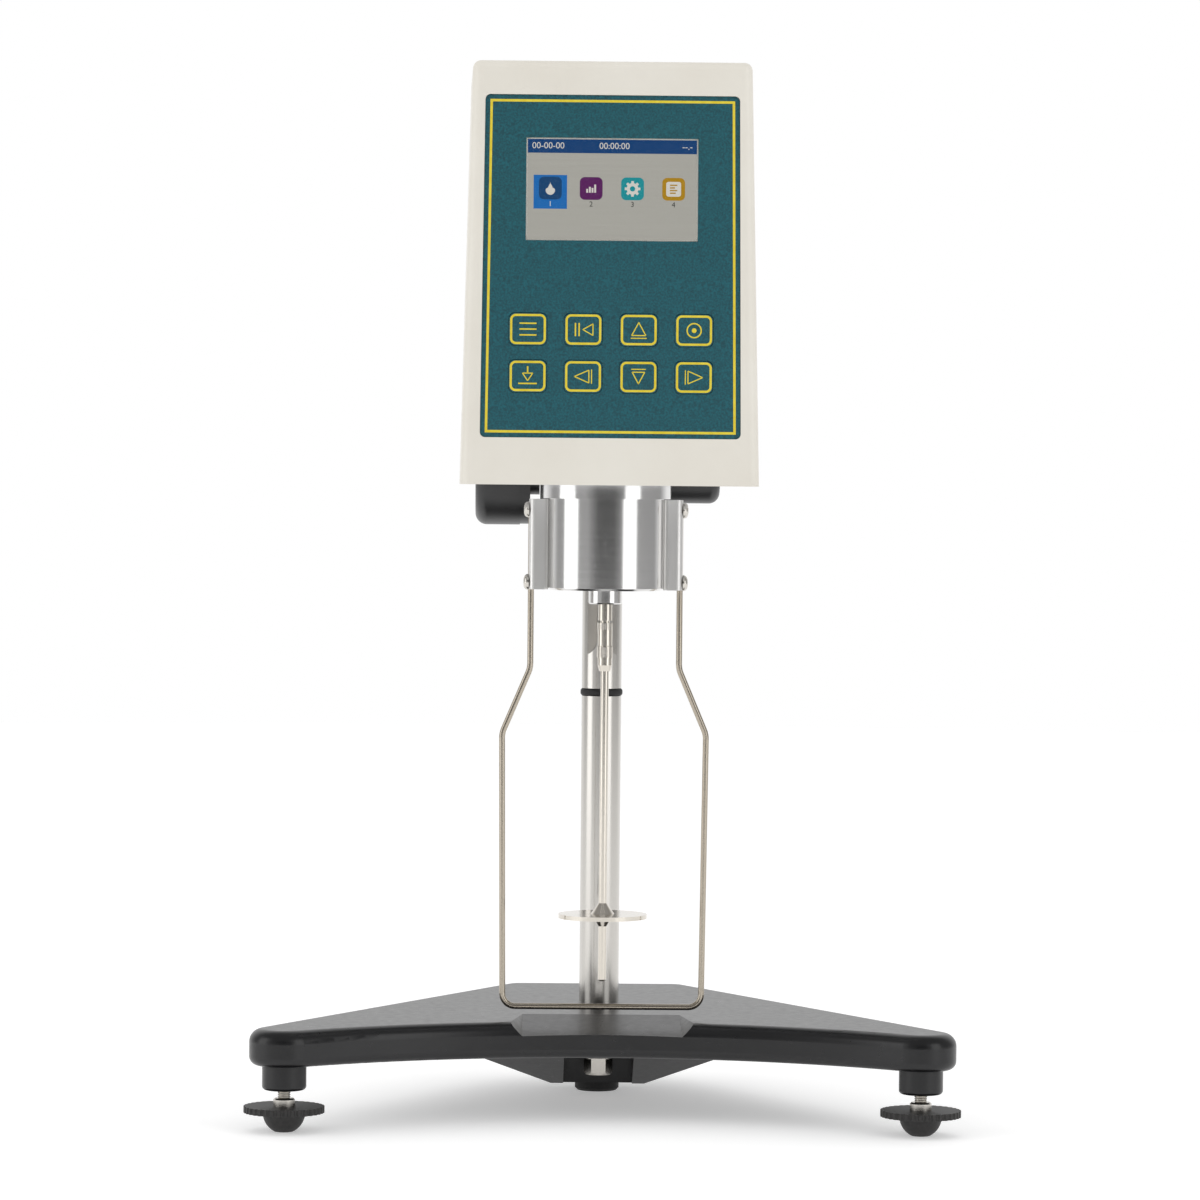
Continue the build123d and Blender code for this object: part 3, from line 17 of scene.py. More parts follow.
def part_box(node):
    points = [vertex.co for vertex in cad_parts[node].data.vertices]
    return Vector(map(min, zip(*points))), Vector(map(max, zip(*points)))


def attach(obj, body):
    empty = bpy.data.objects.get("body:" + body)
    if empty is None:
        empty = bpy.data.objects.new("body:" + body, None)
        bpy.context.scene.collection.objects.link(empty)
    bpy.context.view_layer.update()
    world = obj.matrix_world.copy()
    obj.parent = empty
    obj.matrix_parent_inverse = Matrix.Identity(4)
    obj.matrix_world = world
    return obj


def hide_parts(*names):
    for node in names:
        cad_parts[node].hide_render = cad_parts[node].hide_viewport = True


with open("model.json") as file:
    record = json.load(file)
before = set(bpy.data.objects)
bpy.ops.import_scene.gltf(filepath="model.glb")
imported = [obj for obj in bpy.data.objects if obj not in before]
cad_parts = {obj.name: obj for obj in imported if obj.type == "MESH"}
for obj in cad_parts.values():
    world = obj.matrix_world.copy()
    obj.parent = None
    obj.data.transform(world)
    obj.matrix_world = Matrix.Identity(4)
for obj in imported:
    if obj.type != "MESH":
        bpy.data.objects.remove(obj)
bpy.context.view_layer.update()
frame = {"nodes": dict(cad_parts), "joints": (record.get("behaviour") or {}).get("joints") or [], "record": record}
MM = 0.001

# %% [markdown]
# ## Small tools for modelling
#
# Every new piece starts from one of Blender's primitives and is shaped in edit mode. A turned
# piece could be made with Spin, but a filled circle that is extruded and resized step by step
# stays closed at both ends without any cleaning, so that is the way used here.


# %% Helpers for modelling
def start(operator, name, **settings):
    """A new primitive, alone in the selection, under its final name."""
    bpy.ops.object.select_all(action="DESELECT")
    operator(**settings)
    piece = bpy.context.active_object
    piece.name = piece.data.name = name
    return piece


@contextmanager
def editing(piece):
    """Edit mode with the whole of a piece selected."""
    bpy.context.view_layer.objects.active = piece
    bpy.ops.object.mode_set(mode="EDIT")
    bpy.ops.mesh.select_all(action="SELECT")
    yield
    bpy.ops.object.mode_set(mode="OBJECT")


def choose(piece, test):
    """Select just the vertices whose place passes a test."""
    bpy.ops.mesh.select_mode(type="VERT")
    bpy.ops.mesh.select_all(action="DESELECT")
    bpy.ops.object.mode_set(mode="OBJECT")
    for vertex in piece.data.vertices:
        vertex.select = test(vertex.co)
    bpy.ops.object.mode_set(mode="EDIT")


def turned(name, profile, segments=48):
    """A closed turned piece on the Z axis from (radius, height) points in millimetres."""
    radius, height = profile[0]
    piece = start(bpy.ops.mesh.primitive_circle_add, name, vertices=segments, radius=radius * MM,
                  fill_type="NGON", location=(0, 0, height * MM))
    bpy.ops.object.transform_apply(location=True)
    with editing(piece):
        for next_radius, next_height in profile[1:]:
            rise = (0, 0, (next_height - height) * MM)
            bpy.ops.mesh.extrude_region_move(TRANSFORM_OT_translate={"value": rise})
            ratio = next_radius / radius
            bpy.ops.transform.resize(value=(ratio, ratio, 1), center_override=(0, 0, next_height * MM))
            radius, height = next_radius, next_height
        bpy.ops.mesh.select_all(action="SELECT")
        bpy.ops.mesh.normals_make_consistent(inside=False)
    return piece


def apply_modifier(piece, kind, **settings):
    """Add one modifier to a piece and apply it at once."""
    bpy.context.view_layer.objects.active = piece
    modifier = piece.modifiers.new(kind, kind)
    for key, value in settings.items():
        setattr(modifier, key, value)
    bpy.ops.object.modifier_apply(modifier=modifier.name)


def cut(piece, cutter):
    """Take a cutter's shape out of a piece, and the cutter away."""
    apply_modifier(piece, "BOOLEAN", operation="DIFFERENCE", object=cutter, solver="EXACT")
    bpy.data.objects.remove(cutter)


def join(pieces, name):
    """Several meshes as one object."""
    bpy.ops.object.select_all(action="DESELECT")
    for piece in pieces:
        piece.select_set(True)
    bpy.context.view_layer.objects.active = pieces[0]
    if len(pieces) > 1:
        bpy.ops.object.join()
    pieces[0].name = pieces[0].data.name = name
    return pieces[0]


def copy_of(piece, name, place):
    """A copy with its own mesh, moved by a matrix."""
    twin = piece.copy()
    twin.data = piece.data.copy()
    twin.name = twin.data.name = name
    twin.data.transform(place)
    bpy.context.collection.objects.link(twin)
    return twin


def settle(piece, body, material, place=None, smooth=35):
    """Place a finished piece, smooth it, give it its finish and let it ride on its body."""
    if place is not None:
        piece.matrix_world = place @ piece.matrix_world
    bpy.ops.object.select_all(action="DESELECT")
    piece.select_set(True)
    bpy.context.view_layer.objects.active = piece
    bpy.ops.object.transform_apply(location=True, rotation=True, scale=True)
    if smooth:
        bpy.ops.object.shade_smooth_by_angle(angle=radians(smooth))
    piece.data.materials.clear()
    piece.data.materials.append(material)
    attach(piece, body)
    return piece


# %% [markdown]
# ## Small tools for finishes
#
# Colours are written as sRGB hex values, the way a paint chart gives them, and turned to the
# linear values that a shader adds up. Patterns read Object coordinates, which are metres on every
# piece here, so a grain of half a millimetre is 2000 cells to the metre. The nodes could be wired
# by hand in the shader editor. Here one function adds a node with its links, so each finish below
# reads as the list of what its surface went through.


# %% Helpers for finishes
def paint(hex_text):
    """A colour written as sRGB hex, turned to linear values."""
    channels = [int(hex_text[at:at + 2], 16) / 255 for at in (1, 3, 5)]
    linear = [c / 12.92 if c <= 0.04045 else ((c + 0.055) / 1.055) ** 2.4 for c in channels]
    return (*linear, 1.0)


def per_metre(size):
    """The scale of a pattern whose cells are size millimetres across."""
    return 1 / (size * MM)


def pick(sockets, key):
    """The first socket with a number, a name or an identifier."""
    return sockets[key] if isinstance(key, int) else next(each for each in sockets
                                                          if key in (each.name, each.identifier))


def fill(made, inputs):
    """Set the sockets of a node to plain values, or link them to the outputs of other nodes."""
    for key, value in inputs.items():
        if isinstance(value, bpy.types.NodeSocket):
            made.id_data.links.new(value, pick(made.inputs, key))
        else:
            pick(made.inputs, key).default_value = value


def node(tree, kind, inputs, output=0, **settings):
    """Add one node with its settings and links, and give one of its outputs."""
    made = tree.nodes.new(kind)
    for key, value in settings.items():
        setattr(made, key, value)
    fill(made, inputs)
    return pick(made.outputs, output)


def finish(name, colour, **numbers):
    """A material with a plain colour and plain numbers, its node tree and its shader."""
    material = bpy.data.materials.new(name)
    material.use_nodes = True
    shader = material.node_tree.nodes["Principled BSDF"]
    fill(shader, {"Base Color": paint(colour)})
    fill(shader, {key.replace("_", " "): value for key, value in numbers.items()})
    return material, material.node_tree, shader


MIDDLE = {"From Min": 0.3, "From Max": 0.7}      # where nearly all of a noise's values lie
COLOURS = {"data_type": "RGBA"}
print("white paint is", paint("#FFFFFF"))

# %% [markdown]
# ## Housing, panel and ink
#
# The housing is ABS moulded in a spark-eroded tool, which gives a fine even grain. The panel is
# polyester film printed on its back, with a velvet face over the teal ink, and its yellow is
# screen printed on top. A photograph of such a panel could be laid on as an image, but patterns
# from noise stay sharp close up and need no file.


# %% Cream housing
def moulded_abs():
    """Cream ABS with a spark-eroded grain: a soft sheen, in which nothing is mirrored sharply."""
    material, tree, shader = finish("moulded_abs", "#E6E1D7", IOR=1.53)
    place = node(tree, "ShaderNodeTexCoord", {}, "Object")
    flow = node(tree, "ShaderNodeTexNoise", {"Vector": place, "Scale": per_metre(30), "Detail": 4.0})
    worn = node(tree, "ShaderNodeTexNoise", {"Vector": place, "Scale": per_metre(6)})
    grain = node(tree, "ShaderNodeTexNoise", {"Vector": place, "Scale": per_metre(0.45)})
    blend = node(tree, "ShaderNodeMapRange", {"Value": flow, **MIDDLE})
    shades = node(tree, "ShaderNodeMix", {"Factor": blend, "A_Color": paint("#E3DED3"),
                                          "B_Color": paint("#E8E4DA")}, "Result_Color", **COLOURS)
    sheen = node(tree, "ShaderNodeMapRange", {"Value": worn, "To Min": 0.38, "To Max": 0.46})
    bump = node(tree, "ShaderNodeBump", {"Height": grain, "Distance": 0.012 * MM})
    fill(shader, {"Base Color": shades, "Roughness": sheen, "Normal": bump})
    return material


abs_cream = moulded_abs()
print("made", abs_cream.name)


# %% Teal film and yellow ink
def velvet_film():
    """Teal polyester film: its velvet face breaks the ink's colour up into fine speckles."""
    material, tree, shader = finish("velvet_film", "#00525D", Roughness=0.45, IOR=1.57)
    place = node(tree, "ShaderNodeTexCoord", {}, "Object")
    velvet = node(tree, "ShaderNodeTexNoise", {"Vector": place, "Scale": per_metre(0.7), "Detail": 3.0})
    grain = node(tree, "ShaderNodeTexNoise", {"Vector": place, "Scale": per_metre(0.5)})
    speckle = node(tree, "ShaderNodeMapRange", {"Value": velvet, "From Min": 0.35, "From Max": 0.65})
    shades = node(tree, "ShaderNodeMix", {"Factor": speckle, "A_Color": paint("#00454F"),
                                          "B_Color": paint("#005F6B")}, "Result_Color", **COLOURS)
    bump = node(tree, "ShaderNodeBump", {"Height": grain, "Distance": 0.01 * MM})
    fill(shader, {"Base Color": shades, "Normal": bump})
    return material


def yellow_ink():
    """Yellow screen-printing ink, laid thick: matt, and a little uneven in its colour."""
    material, tree, shader = finish("yellow_ink", "#E0CA26", Roughness=0.5, IOR=1.5)
    place = node(tree, "ShaderNodeTexCoord", {}, "Object")
    mesh = node(tree, "ShaderNodeTexNoise", {"Vector": place, "Scale": per_metre(2.5)})
    blend = node(tree, "ShaderNodeMapRange", {"Value": mesh, **MIDDLE})
    shades = node(tree, "ShaderNodeMix", {"Factor": blend, "A_Color": paint("#DCC420"),
                                          "B_Color": paint("#E6D23A")}, "Result_Color", **COLOURS)
    fill(shader, {"Base Color": shades})
    return material


film, ink = velvet_film(), yellow_ink()
print("made", film.name, "and", ink.name)

# %% [markdown]
# ## Black finishes
#
# Five things here are black, and their sheen tells them apart: satin enamel sprayed on the iron
# base, polished phenolic knobs, dull glass-filled nylon feet, rubber that is wiped in places, and
# glossy sockets. The base could be one smooth black, but the orange peel of the spray and the
# sand's texture under it are what make it a casting.


# %% Enamel
def cast_enamel():
    """Black enamel on a sand casting: it mirrors the room along its top, through orange peel."""
    material, tree, shader = finish("cast_enamel", "#101012", IOR=1.5)
    place = node(tree, "ShaderNodeTexCoord", {}, "Object")
    coat = node(tree, "ShaderNodeTexNoise", {"Vector": place, "Scale": per_metre(14), "Detail": 4.0})
    spray = node(tree, "ShaderNodeTexNoise", {"Vector": place, "Scale": per_metre(3)})
    peel = node(tree, "ShaderNodeTexNoise", {"Vector": place, "Scale": per_metre(0.9), "Detail": 3.0})
    blend = node(tree, "ShaderNodeMapRange", {"Value": coat, **MIDDLE})
    shades = node(tree, "ShaderNodeMix", {"Factor": blend, "A_Color": paint("#0D0D0F"),
                                          "B_Color": paint("#141416")}, "Result_Color", **COLOURS)
    sheen = node(tree, "ShaderNodeMapRange", {"Value": spray, "To Min": 0.24, "To Max": 0.36})
    bump = node(tree, "ShaderNodeBump", {"Height": peel, "Distance": 0.03 * MM})
    fill(shader, {"Base Color": shades, "Roughness": sheen, "Normal": bump})
    return material


enamel = cast_enamel()
print("made", enamel.name)


# %% Knobs, feet, anodised parts
def dull_black(name, dark, light, clouds, detail, grain, depth, **numbers):
    """A black whose shade drifts over clouds and whose surface is raised by grain, both in mm."""
    material, tree, shader = finish(name, dark, **numbers)
    place = node(tree, "ShaderNodeTexCoord", {}, "Object")
    drift = node(tree, "ShaderNodeTexNoise", {"Vector": place, "Scale": per_metre(clouds), "Detail": detail})
    fine = node(tree, "ShaderNodeTexNoise", {"Vector": place, "Scale": per_metre(grain)})
    blend = node(tree, "ShaderNodeMapRange", {"Value": drift, **MIDDLE})
    shades = node(tree, "ShaderNodeMix", {"Factor": blend, "A_Color": paint(dark),
                                          "B_Color": paint(light)}, "Result_Color", **COLOURS)
    bump = node(tree, "ShaderNodeBump", {"Height": fine, "Distance": depth * MM})
    fill(shader, {"Base Color": shades, "Normal": bump})
    return material


# Phenolic knobs keep a faint polish, and show the lamps as soft streaks
phenolic = dull_black("satin_phenolic", "#181819", "#1F1F20", 8, 2.0, 0.8, 0.012, Roughness=0.36, IOR=1.6)
# Glass fibres at the surface of the nylon feet make them greyer and duller
nylon = dull_black("foot_nylon", "#201F1F", "#2E2C2B", 1.5, 4.0, 0.6, 0.02, Roughness=0.55, IOR=1.53)
# Black oxide over blasted aluminium keeps a little of the metal's glint
anodised = dull_black("black_anodised", "#161618", "#202022", 6, 2.0, 0.5, 0.01, Roughness=0.45,
                      Metallic=0.4)
print("made", phenolic.name, nylon.name, "and", anodised.name)


# %% Rubber and sockets
def soft_rubber():
    """Moulded nitrile rubber: a dull black, shinier where it is rubbed."""
    material, tree, shader = finish("soft_rubber", "#161616", IOR=1.52)
    place = node(tree, "ShaderNodeTexCoord", {}, "Object")
    rubbed = node(tree, "ShaderNodeTexNoise", {"Vector": place, "Scale": per_metre(1.2)})
    grain = node(tree, "ShaderNodeTexNoise", {"Vector": place, "Scale": per_metre(0.5)})
    sheen = node(tree, "ShaderNodeMapRange", {"Value": rubbed, "To Min": 0.5, "To Max": 0.72})
    bump = node(tree, "ShaderNodeBump", {"Height": grain, "Distance": 0.01 * MM})
    fill(shader, {"Roughness": sheen, "Normal": bump})
    return material


def socket_plastic():
    """Black PBT from a polished tool: nearly glossy, with clear highlights along its edges."""
    material, tree, shader = finish("socket_plastic", "#151516", IOR=1.55)
    place = node(tree, "ShaderNodeTexCoord", {}, "Object")
    haze = node(tree, "ShaderNodeTexNoise", {"Vector": place, "Scale": per_metre(2)})
    fill(shader, {"Roughness": node(tree, "ShaderNodeMapRange",
                                    {"Value": haze, "To Min": 0.2, "To Max": 0.32})})
    return material


rubber, socket_black = soft_rubber(), socket_plastic()
print("made", rubber.name, "and", socket_black.name)

# %% [markdown]
# ## Metals
#
# A metal's colour is its reflection, so what tells one finish from another is how its tool marks
# spread the light: rings on turned steel, lengthways lines on a ground post, almost nothing on
# the polished cup. The marks could be painted as stripes, but then they wouldn't glint. Each
# metal has a noise drawn out along the way its tool went, which moves the roughness and the
# height. The real marks are a few hundredths of a millimetre wide, and these are drawn some ten
# times coarser, so that they show.


# %% Metals
def metal(name, colour, roughness, size, stretch, depth):
    """A bare metal with tool marks of a size in millimetres, drawn out along each axis."""
    material, tree, shader = finish(name, colour, Metallic=1.0)
    place = node(tree, "ShaderNodeTexCoord", {}, "Object")
    drawn = node(tree, "ShaderNodeMapping", {"Vector": place, "Scale": [1 / pull for pull in stretch]})
    marks = node(tree, "ShaderNodeTexNoise", {"Vector": drawn, "Scale": per_metre(size), "Detail": 3.0})
    polish = node(tree, "ShaderNodeMapRange", {"Value": marks, "To Min": roughness * 0.8,
                                               "To Max": roughness * 1.25})
    bump = node(tree, "ShaderNodeBump", {"Height": marks, "Distance": depth * MM})
    fill(shader, {"Roughness": polish, "Normal": bump})
    return material


metals = {name: metal(name, *numbers) for name, numbers in {
    # Stainless post, ground along its length: straight streaks of light
    "ground_steel": ("#CBC8C3", 0.2, 0.5, (1, 1, 60), 0.0006),
    # Stainless spindle parts, turned: rings, and bright edges
    "turned_steel": ("#D6D0C6", 0.16, 0.35, (40, 40, 1), 0.0006),
    # Stainless wire as it comes from the die: a warm grey with a soft bright line
    "drawn_wire": ("#B3AA9C", 0.24, 0.3, (1, 1, 30), 0.0008),
    # Aluminium cup, turned and polished: it shows the lamps and the dark room as upright bands
    "polished_metal": ("#E2E1E0", 0.15, 0.4, (80, 80, 1), 0.0002),
    # Bright drawn bar: pale, with faint lengthways lines
    "drawn_aluminium": ("#DDDCDA", 0.36, 0.4, (1, 1, 40), 0.001),
    # Bright zinc on screws and studs: an even, slightly cloudy shine
    "zinc_plate": ("#CFCBC4", 0.24, 0.6, (1, 1, 1), 0.0015),
    # Aluminium plate inside the head, as it was milled
    "milled_plate": ("#C9CACC", 0.3, 0.5, (20, 1, 1), 0.001),
    # Rolled bronze strip of the hairspring: a golden glint
    "rolled_bronze": ("#B98A4A", 0.25, 0.4, (10, 10, 1), 0.0005),
}.items()}
zinc = metals["zinc_plate"]
print("made", ", ".join(metals))

# %% [markdown]
# ## Window, gem, boards and the lit display
#
# The window is thin clear acrylic. It is drawn with a low alpha rather than as solid glass, so
# that the display behind it stays bright and costs no extra light paths. The display is lit from
# behind, so its colours are emission: what is written is what the eye gets.


# %% Window, gem, boards and the lit display
def clear_acrylic():
    """Cast acrylic: nearly clear, with a dark tint and a sharp reflection."""
    material, tree, shader = finish("clear_acrylic", "#30383A", IOR=1.49, Alpha=0.07)
    place = node(tree, "ShaderNodeTexCoord", {}, "Object")
    wipes = node(tree, "ShaderNodeTexNoise", {"Vector": place, "Scale": per_metre(8)})
    fill(shader, {"Roughness": node(tree, "ShaderNodeMapRange",
                                    {"Value": wipes, "To Min": 0.06, "To Max": 0.12})})
    return material


def ruby():
    """Synthetic ruby, ground and polished: deep red, with light inside it."""
    material, tree, shader = finish("ruby", "#B01030", IOR=1.77, Transmission_Weight=0.6)
    place = node(tree, "ShaderNodeTexCoord", {}, "Object")
    ground = node(tree, "ShaderNodeTexNoise", {"Vector": place, "Scale": per_metre(1)})
    fill(shader, {"Roughness": node(tree, "ShaderNodeMapRange",
                                    {"Value": ground, "To Min": 0.05, "To Max": 0.12})})
    return material


def mottled(name, dark, light, size, **numbers):
    """A smooth coloured surface whose shade drifts over a size in millimetres."""
    material, tree, shader = finish(name, dark, **numbers)
    place = node(tree, "ShaderNodeTexCoord", {}, "Object")
    drift = node(tree, "ShaderNodeTexNoise", {"Vector": place, "Scale": per_metre(size)})
    blend = node(tree, "ShaderNodeMapRange", {"Value": drift, **MIDDLE})
    fill(shader, {"Base Color": node(tree, "ShaderNodeMix", {
        "Factor": blend, "A_Color": paint(dark), "B_Color": paint(light)}, "Result_Color", **COLOURS)})
    return material


def screen_light(name, colour):
    """One colour of the lit display. Its rows of pixels are drawn 0.35 mm high, so they show."""
    material, tree, shader = finish(name, "#050505", Roughness=0.4, Emission_Strength=1.0)
    place = node(tree, "ShaderNodeTexCoord", {}, "Object")
    drawn = node(tree, "ShaderNodeMapping", {"Vector": place, "Scale": [1 / 60, 1 / 60, 1]})
    rows = node(tree, "ShaderNodeTexNoise", {"Vector": drawn, "Scale": per_metre(0.35)})
    level = node(tree, "ShaderNodeMapRange", {"Value": rows, "To Min": 0.93, "To Max": 1.07})
    glow = node(tree, "ShaderNodeVectorMath", {0: paint(colour)[:3], "Scale": level}, operation="SCALE")
    fill(shader, {"Emission Color": glow})
    return material


acrylic, gem = clear_acrylic(), ruby()
# Yellow-green spirit in the level's clear cell: wet and bright, so that the bubble stands out
liquid = mottled("level_liquid", "#B4CC30", "#C8DC50", 4, Roughness=0.06, IOR=1.45)
# Green lacquer over the copper of the boards: shiny and a little uneven
mask = mottled("solder_mask", "#1A6032", "#257543", 5, Roughness=0.35)
print("made", acrylic.name, gem.name, liquid.name, "and", mask.name)

# %% [markdown]
# ## The finish of every CAD piece
#
# Each CAD piece names a slot, and pieces of one slot are made of one thing. So one table dresses
# them all, and only the post and the two knobs have finishes of their own.

# %% Dressing the CAD pieces
finishes = {
    "base_paint": enamel, "steel": metals["turned_steel"], "zinc_steel": zinc,
    "guard_steel": metals["drawn_wire"], "rubber": rubber, "black_plastic": nylon,
    "gloss_black": socket_black, "shell_cream": abs_cream, "panel_teal": film, "window": acrylic,
    "display": socket_black, "board": mask, "chassis_metal": metals["milled_plate"],
    "motor_metal": anodised, "black_metal": anodised, "chrome": metals["polished_metal"],
    "bar_metal": metals["drawn_aluminium"], "jewel": gem, "spring_bronze": metals["rolled_bronze"],
    "vial": liquid,
}
own_finishes = {"post": metals["ground_steel"], "height_knob": phenolic, "tension_knob": phenolic}
for entry in frame["record"]["subparts"]:
    dressed = frame["nodes"][entry["node"]]
    dressed.data.materials.clear()
    dressed.data.materials.append(own_finishes.get(entry["node"], finishes[entry["material_slot"]]))
print("finishes given to", len(frame["nodes"]), "CAD pieces")

# %% [markdown]
# ## Camera
#
# The photograph is square and was taken from about 1.9 m away with a long lens, a little above
# the middle of the instrument and one degree to its left. The picture leans half a degree, and so
# does the camera here.

# %% Camera
SPINDLE_Y = (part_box("disc_spindle")[0].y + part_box("disc_spindle")[1].y) / 2
EYE_DISTANCE, EYE_X, EYE_Z = 1.9, -0.0021, 0.2512
AZIMUTH, PITCH, LEAN = radians(1.0), radians(1.44), radians(0.52)
FOCAL_LENGTH, SENSOR = 146.05, 36.0
forward = Vector((sin(AZIMUTH) * cos(PITCH), cos(AZIMUTH) * cos(PITCH), -sin(PITCH)))
level_right = Vector((cos(AZIMUTH), -sin(AZIMUTH), 0))
level_up = level_right.cross(forward)
right = level_right * cos(LEAN) + level_up * sin(LEAN)
up = level_up * cos(LEAN) - level_right * sin(LEAN)
bpy.ops.object.camera_add()
camera = bpy.context.active_object
camera.data.lens, camera.data.sensor_width, camera.data.sensor_fit = FOCAL_LENGTH, SENSOR, "HORIZONTAL"
eye = Vector((EYE_X - EYE_DISTANCE * sin(AZIMUTH), SPINDLE_Y - EYE_DISTANCE * cos(AZIMUTH), EYE_Z))
turn = Matrix((right, up, -forward)).transposed()
camera.matrix_world = Matrix.Translation(eye) @ turn.to_4x4()
bpy.context.scene.camera = camera
bpy.context.scene.view_settings.view_transform = "Standard"
print("eye at", tuple(round(value, 3) for value in eye))

# %% [markdown]
# ## The panel's printing
#
# The front of the head leans back a few degrees. All artwork is drawn flat around the origin and
# then carried to the face by one matrix, whose Z is the way the panel looks. The border is a
# rectangle that narrows a little towards the top, as the panel does: a plane is resized along its
# top edge, inset by the width of the line, and the middle is deleted.

# %% The face of the head
HEAD_TILT = radians(3.5)
FILM_THICKNESS, KEY_THICKNESS = 1.0 * MM, 2.35 * MM
INK_THICKNESS = 0.05 * MM
outward = Vector((0, -cos(HEAD_TILT), sin(HEAD_TILT)))
up_face = Vector((0, sin(HEAD_TILT), cos(HEAD_TILT)))
face_turn = Matrix((Vector((1, 0, 0)), up_face, outward)).transposed().to_4x4()


def face_place(node_name, thickness):
    """The matrix to the middle of a face-mounted CAD piece's front."""
    low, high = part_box(node_name)
    return Matrix.Translation((low + high) / 2 + outward * thickness / 2) @ face_turn


film_front = face_place("panel_overlay", FILM_THICKNESS)
film_low, film_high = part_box("panel_overlay")
FILM_HALF_WIDTH = (film_high.x - film_low.x) / 2
FILM_HALF_HEIGHT = (film_high.z - film_low.z) / 2 / cos(HEAD_TILT)
print("panel half width and height, mm:", round(FILM_HALF_WIDTH / MM, 1), round(FILM_HALF_HEIGHT / MM, 1))


# %% Flat artwork
def to_line(width):
    """In edit mode with one flat face selected: keep just a line of a width along its rim."""
    bpy.ops.mesh.inset(thickness=width * MM, use_boundary=True)
    bpy.ops.mesh.delete(type="FACE")


def sheet_of(piece, thickness=INK_THICKNESS):
    """Give a flat shape its thickness, upwards from where it lies."""
    apply_modifier(piece, "SOLIDIFY", thickness=thickness, offset=1.0)
    return piece


def rectangle(name, width, height, x=0.0, y=0.0, corner=0.0, line=None):
    """A flat rectangle in millimetres, with round corners or cut to a line if asked."""
    piece = start(bpy.ops.mesh.primitive_plane_add, name, size=MM)
    with editing(piece):
        bpy.ops.transform.resize(value=(width, height, 1), center_override=(0, 0, 0))
        if corner:
            bpy.ops.mesh.bevel(offset=corner * MM, segments=8, affect="VERTICES")
            bpy.ops.mesh.select_all(action="SELECT")
        if line:
            to_line(line)
            bpy.ops.mesh.select_all(action="SELECT")
        bpy.ops.transform.translate(value=(x * MM, y * MM, 0))
    return piece


def triangle(name, width, height, turn=0.0, x=0.0, y=0.0, corner=0.5, line=0.4):
    """A rounded triangle outline, pointing up until it is turned."""
    piece = start(bpy.ops.mesh.primitive_plane_add, name, size=MM)
    with editing(piece):
        bpy.ops.transform.resize(value=(width, height, 1), center_override=(0, 0, 0))
        choose(piece, lambda place: place.y > 0)
        bpy.ops.mesh.merge(type="CENTER")
        bpy.ops.mesh.select_all(action="SELECT")
        bpy.ops.mesh.bevel(offset=corner * MM, segments=5, affect="VERTICES")
        bpy.ops.mesh.select_all(action="SELECT")
        if line:
            to_line(line)
    piece.data.transform(Matrix.Translation((x * MM, y * MM, 0)) @ Matrix.Rotation(turn, 4, "Z"))
    return piece


def disc(name, radius, x=0.0, y=0.0, line=None, segments=40):
    """A flat disc, or a ring if a line width is given."""
    piece = start(bpy.ops.mesh.primitive_circle_add, name, vertices=segments, radius=radius * MM,
                  fill_type="NGON")
    with editing(piece):
        if line:
            to_line(line)
            bpy.ops.mesh.select_all(action="SELECT")
        bpy.ops.transform.translate(value=(x * MM, y * MM, 0))
    return piece


# %% Yellow border of the panel
BORDER_INSET, BORDER_LINE = 1.75, 0.95
PANEL_TAPER = 1.1            # the panel's half width loses this from bottom to top
border_width = 2 * (FILM_HALF_WIDTH / MM - BORDER_INSET)
border_height = 2 * (FILM_HALF_HEIGHT / MM - BORDER_INSET)
border = rectangle("panel_border", border_width, border_height)
with editing(border):
    choose(border, lambda place: place.y > 0)
    narrow = 1 - 2 * PANEL_TAPER / border_width
    bpy.ops.transform.resize(value=(narrow, 1, 1), center_override=(0, 0, 0))
    bpy.ops.mesh.select_all(action="SELECT")
    to_line(BORDER_LINE)
settle(sheet_of(border), "head", ink, film_front, smooth=None)
print("border", round(border_width, 1), "by", round(border_height, 1), "mm")

# %% [markdown]
# ## The keys
#
# Each key carries a rounded yellow outline and a sign. Words are left out: arrows and plain signs
# tell the eye the same. The outline is modelled once and copied to every key, and each copy rides
# on its own key so that it goes down with it.

# %% Key outlines
KEY_EDGE = 0.4               # bevel round a key's front
key_low, key_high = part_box("key_ok")
key_width = (key_high.x - key_low.x) / MM - 2 * KEY_EDGE
key_height = (key_high.z - key_low.z - KEY_THICKNESS * sin(HEAD_TILT)) / MM / cos(HEAD_TILT) - 2 * KEY_EDGE
outline = sheet_of(rectangle("key_outline", key_width, key_height, corner=2.2, line=0.85))
key_names = [name for name in frame["nodes"] if name.startswith("key_") and name != "key_board"]
for name in key_names:
    ring = copy_of(outline, f"{name}_outline", Matrix.Identity(4))
    settle(ring, f"{name[4:]}_key", ink, face_place(name, KEY_THICKNESS), smooth=None)
bpy.data.objects.remove(outline)
print("outlines on", len(key_names), "keys,", round(key_width, 2), "by", round(key_height, 2), "mm")

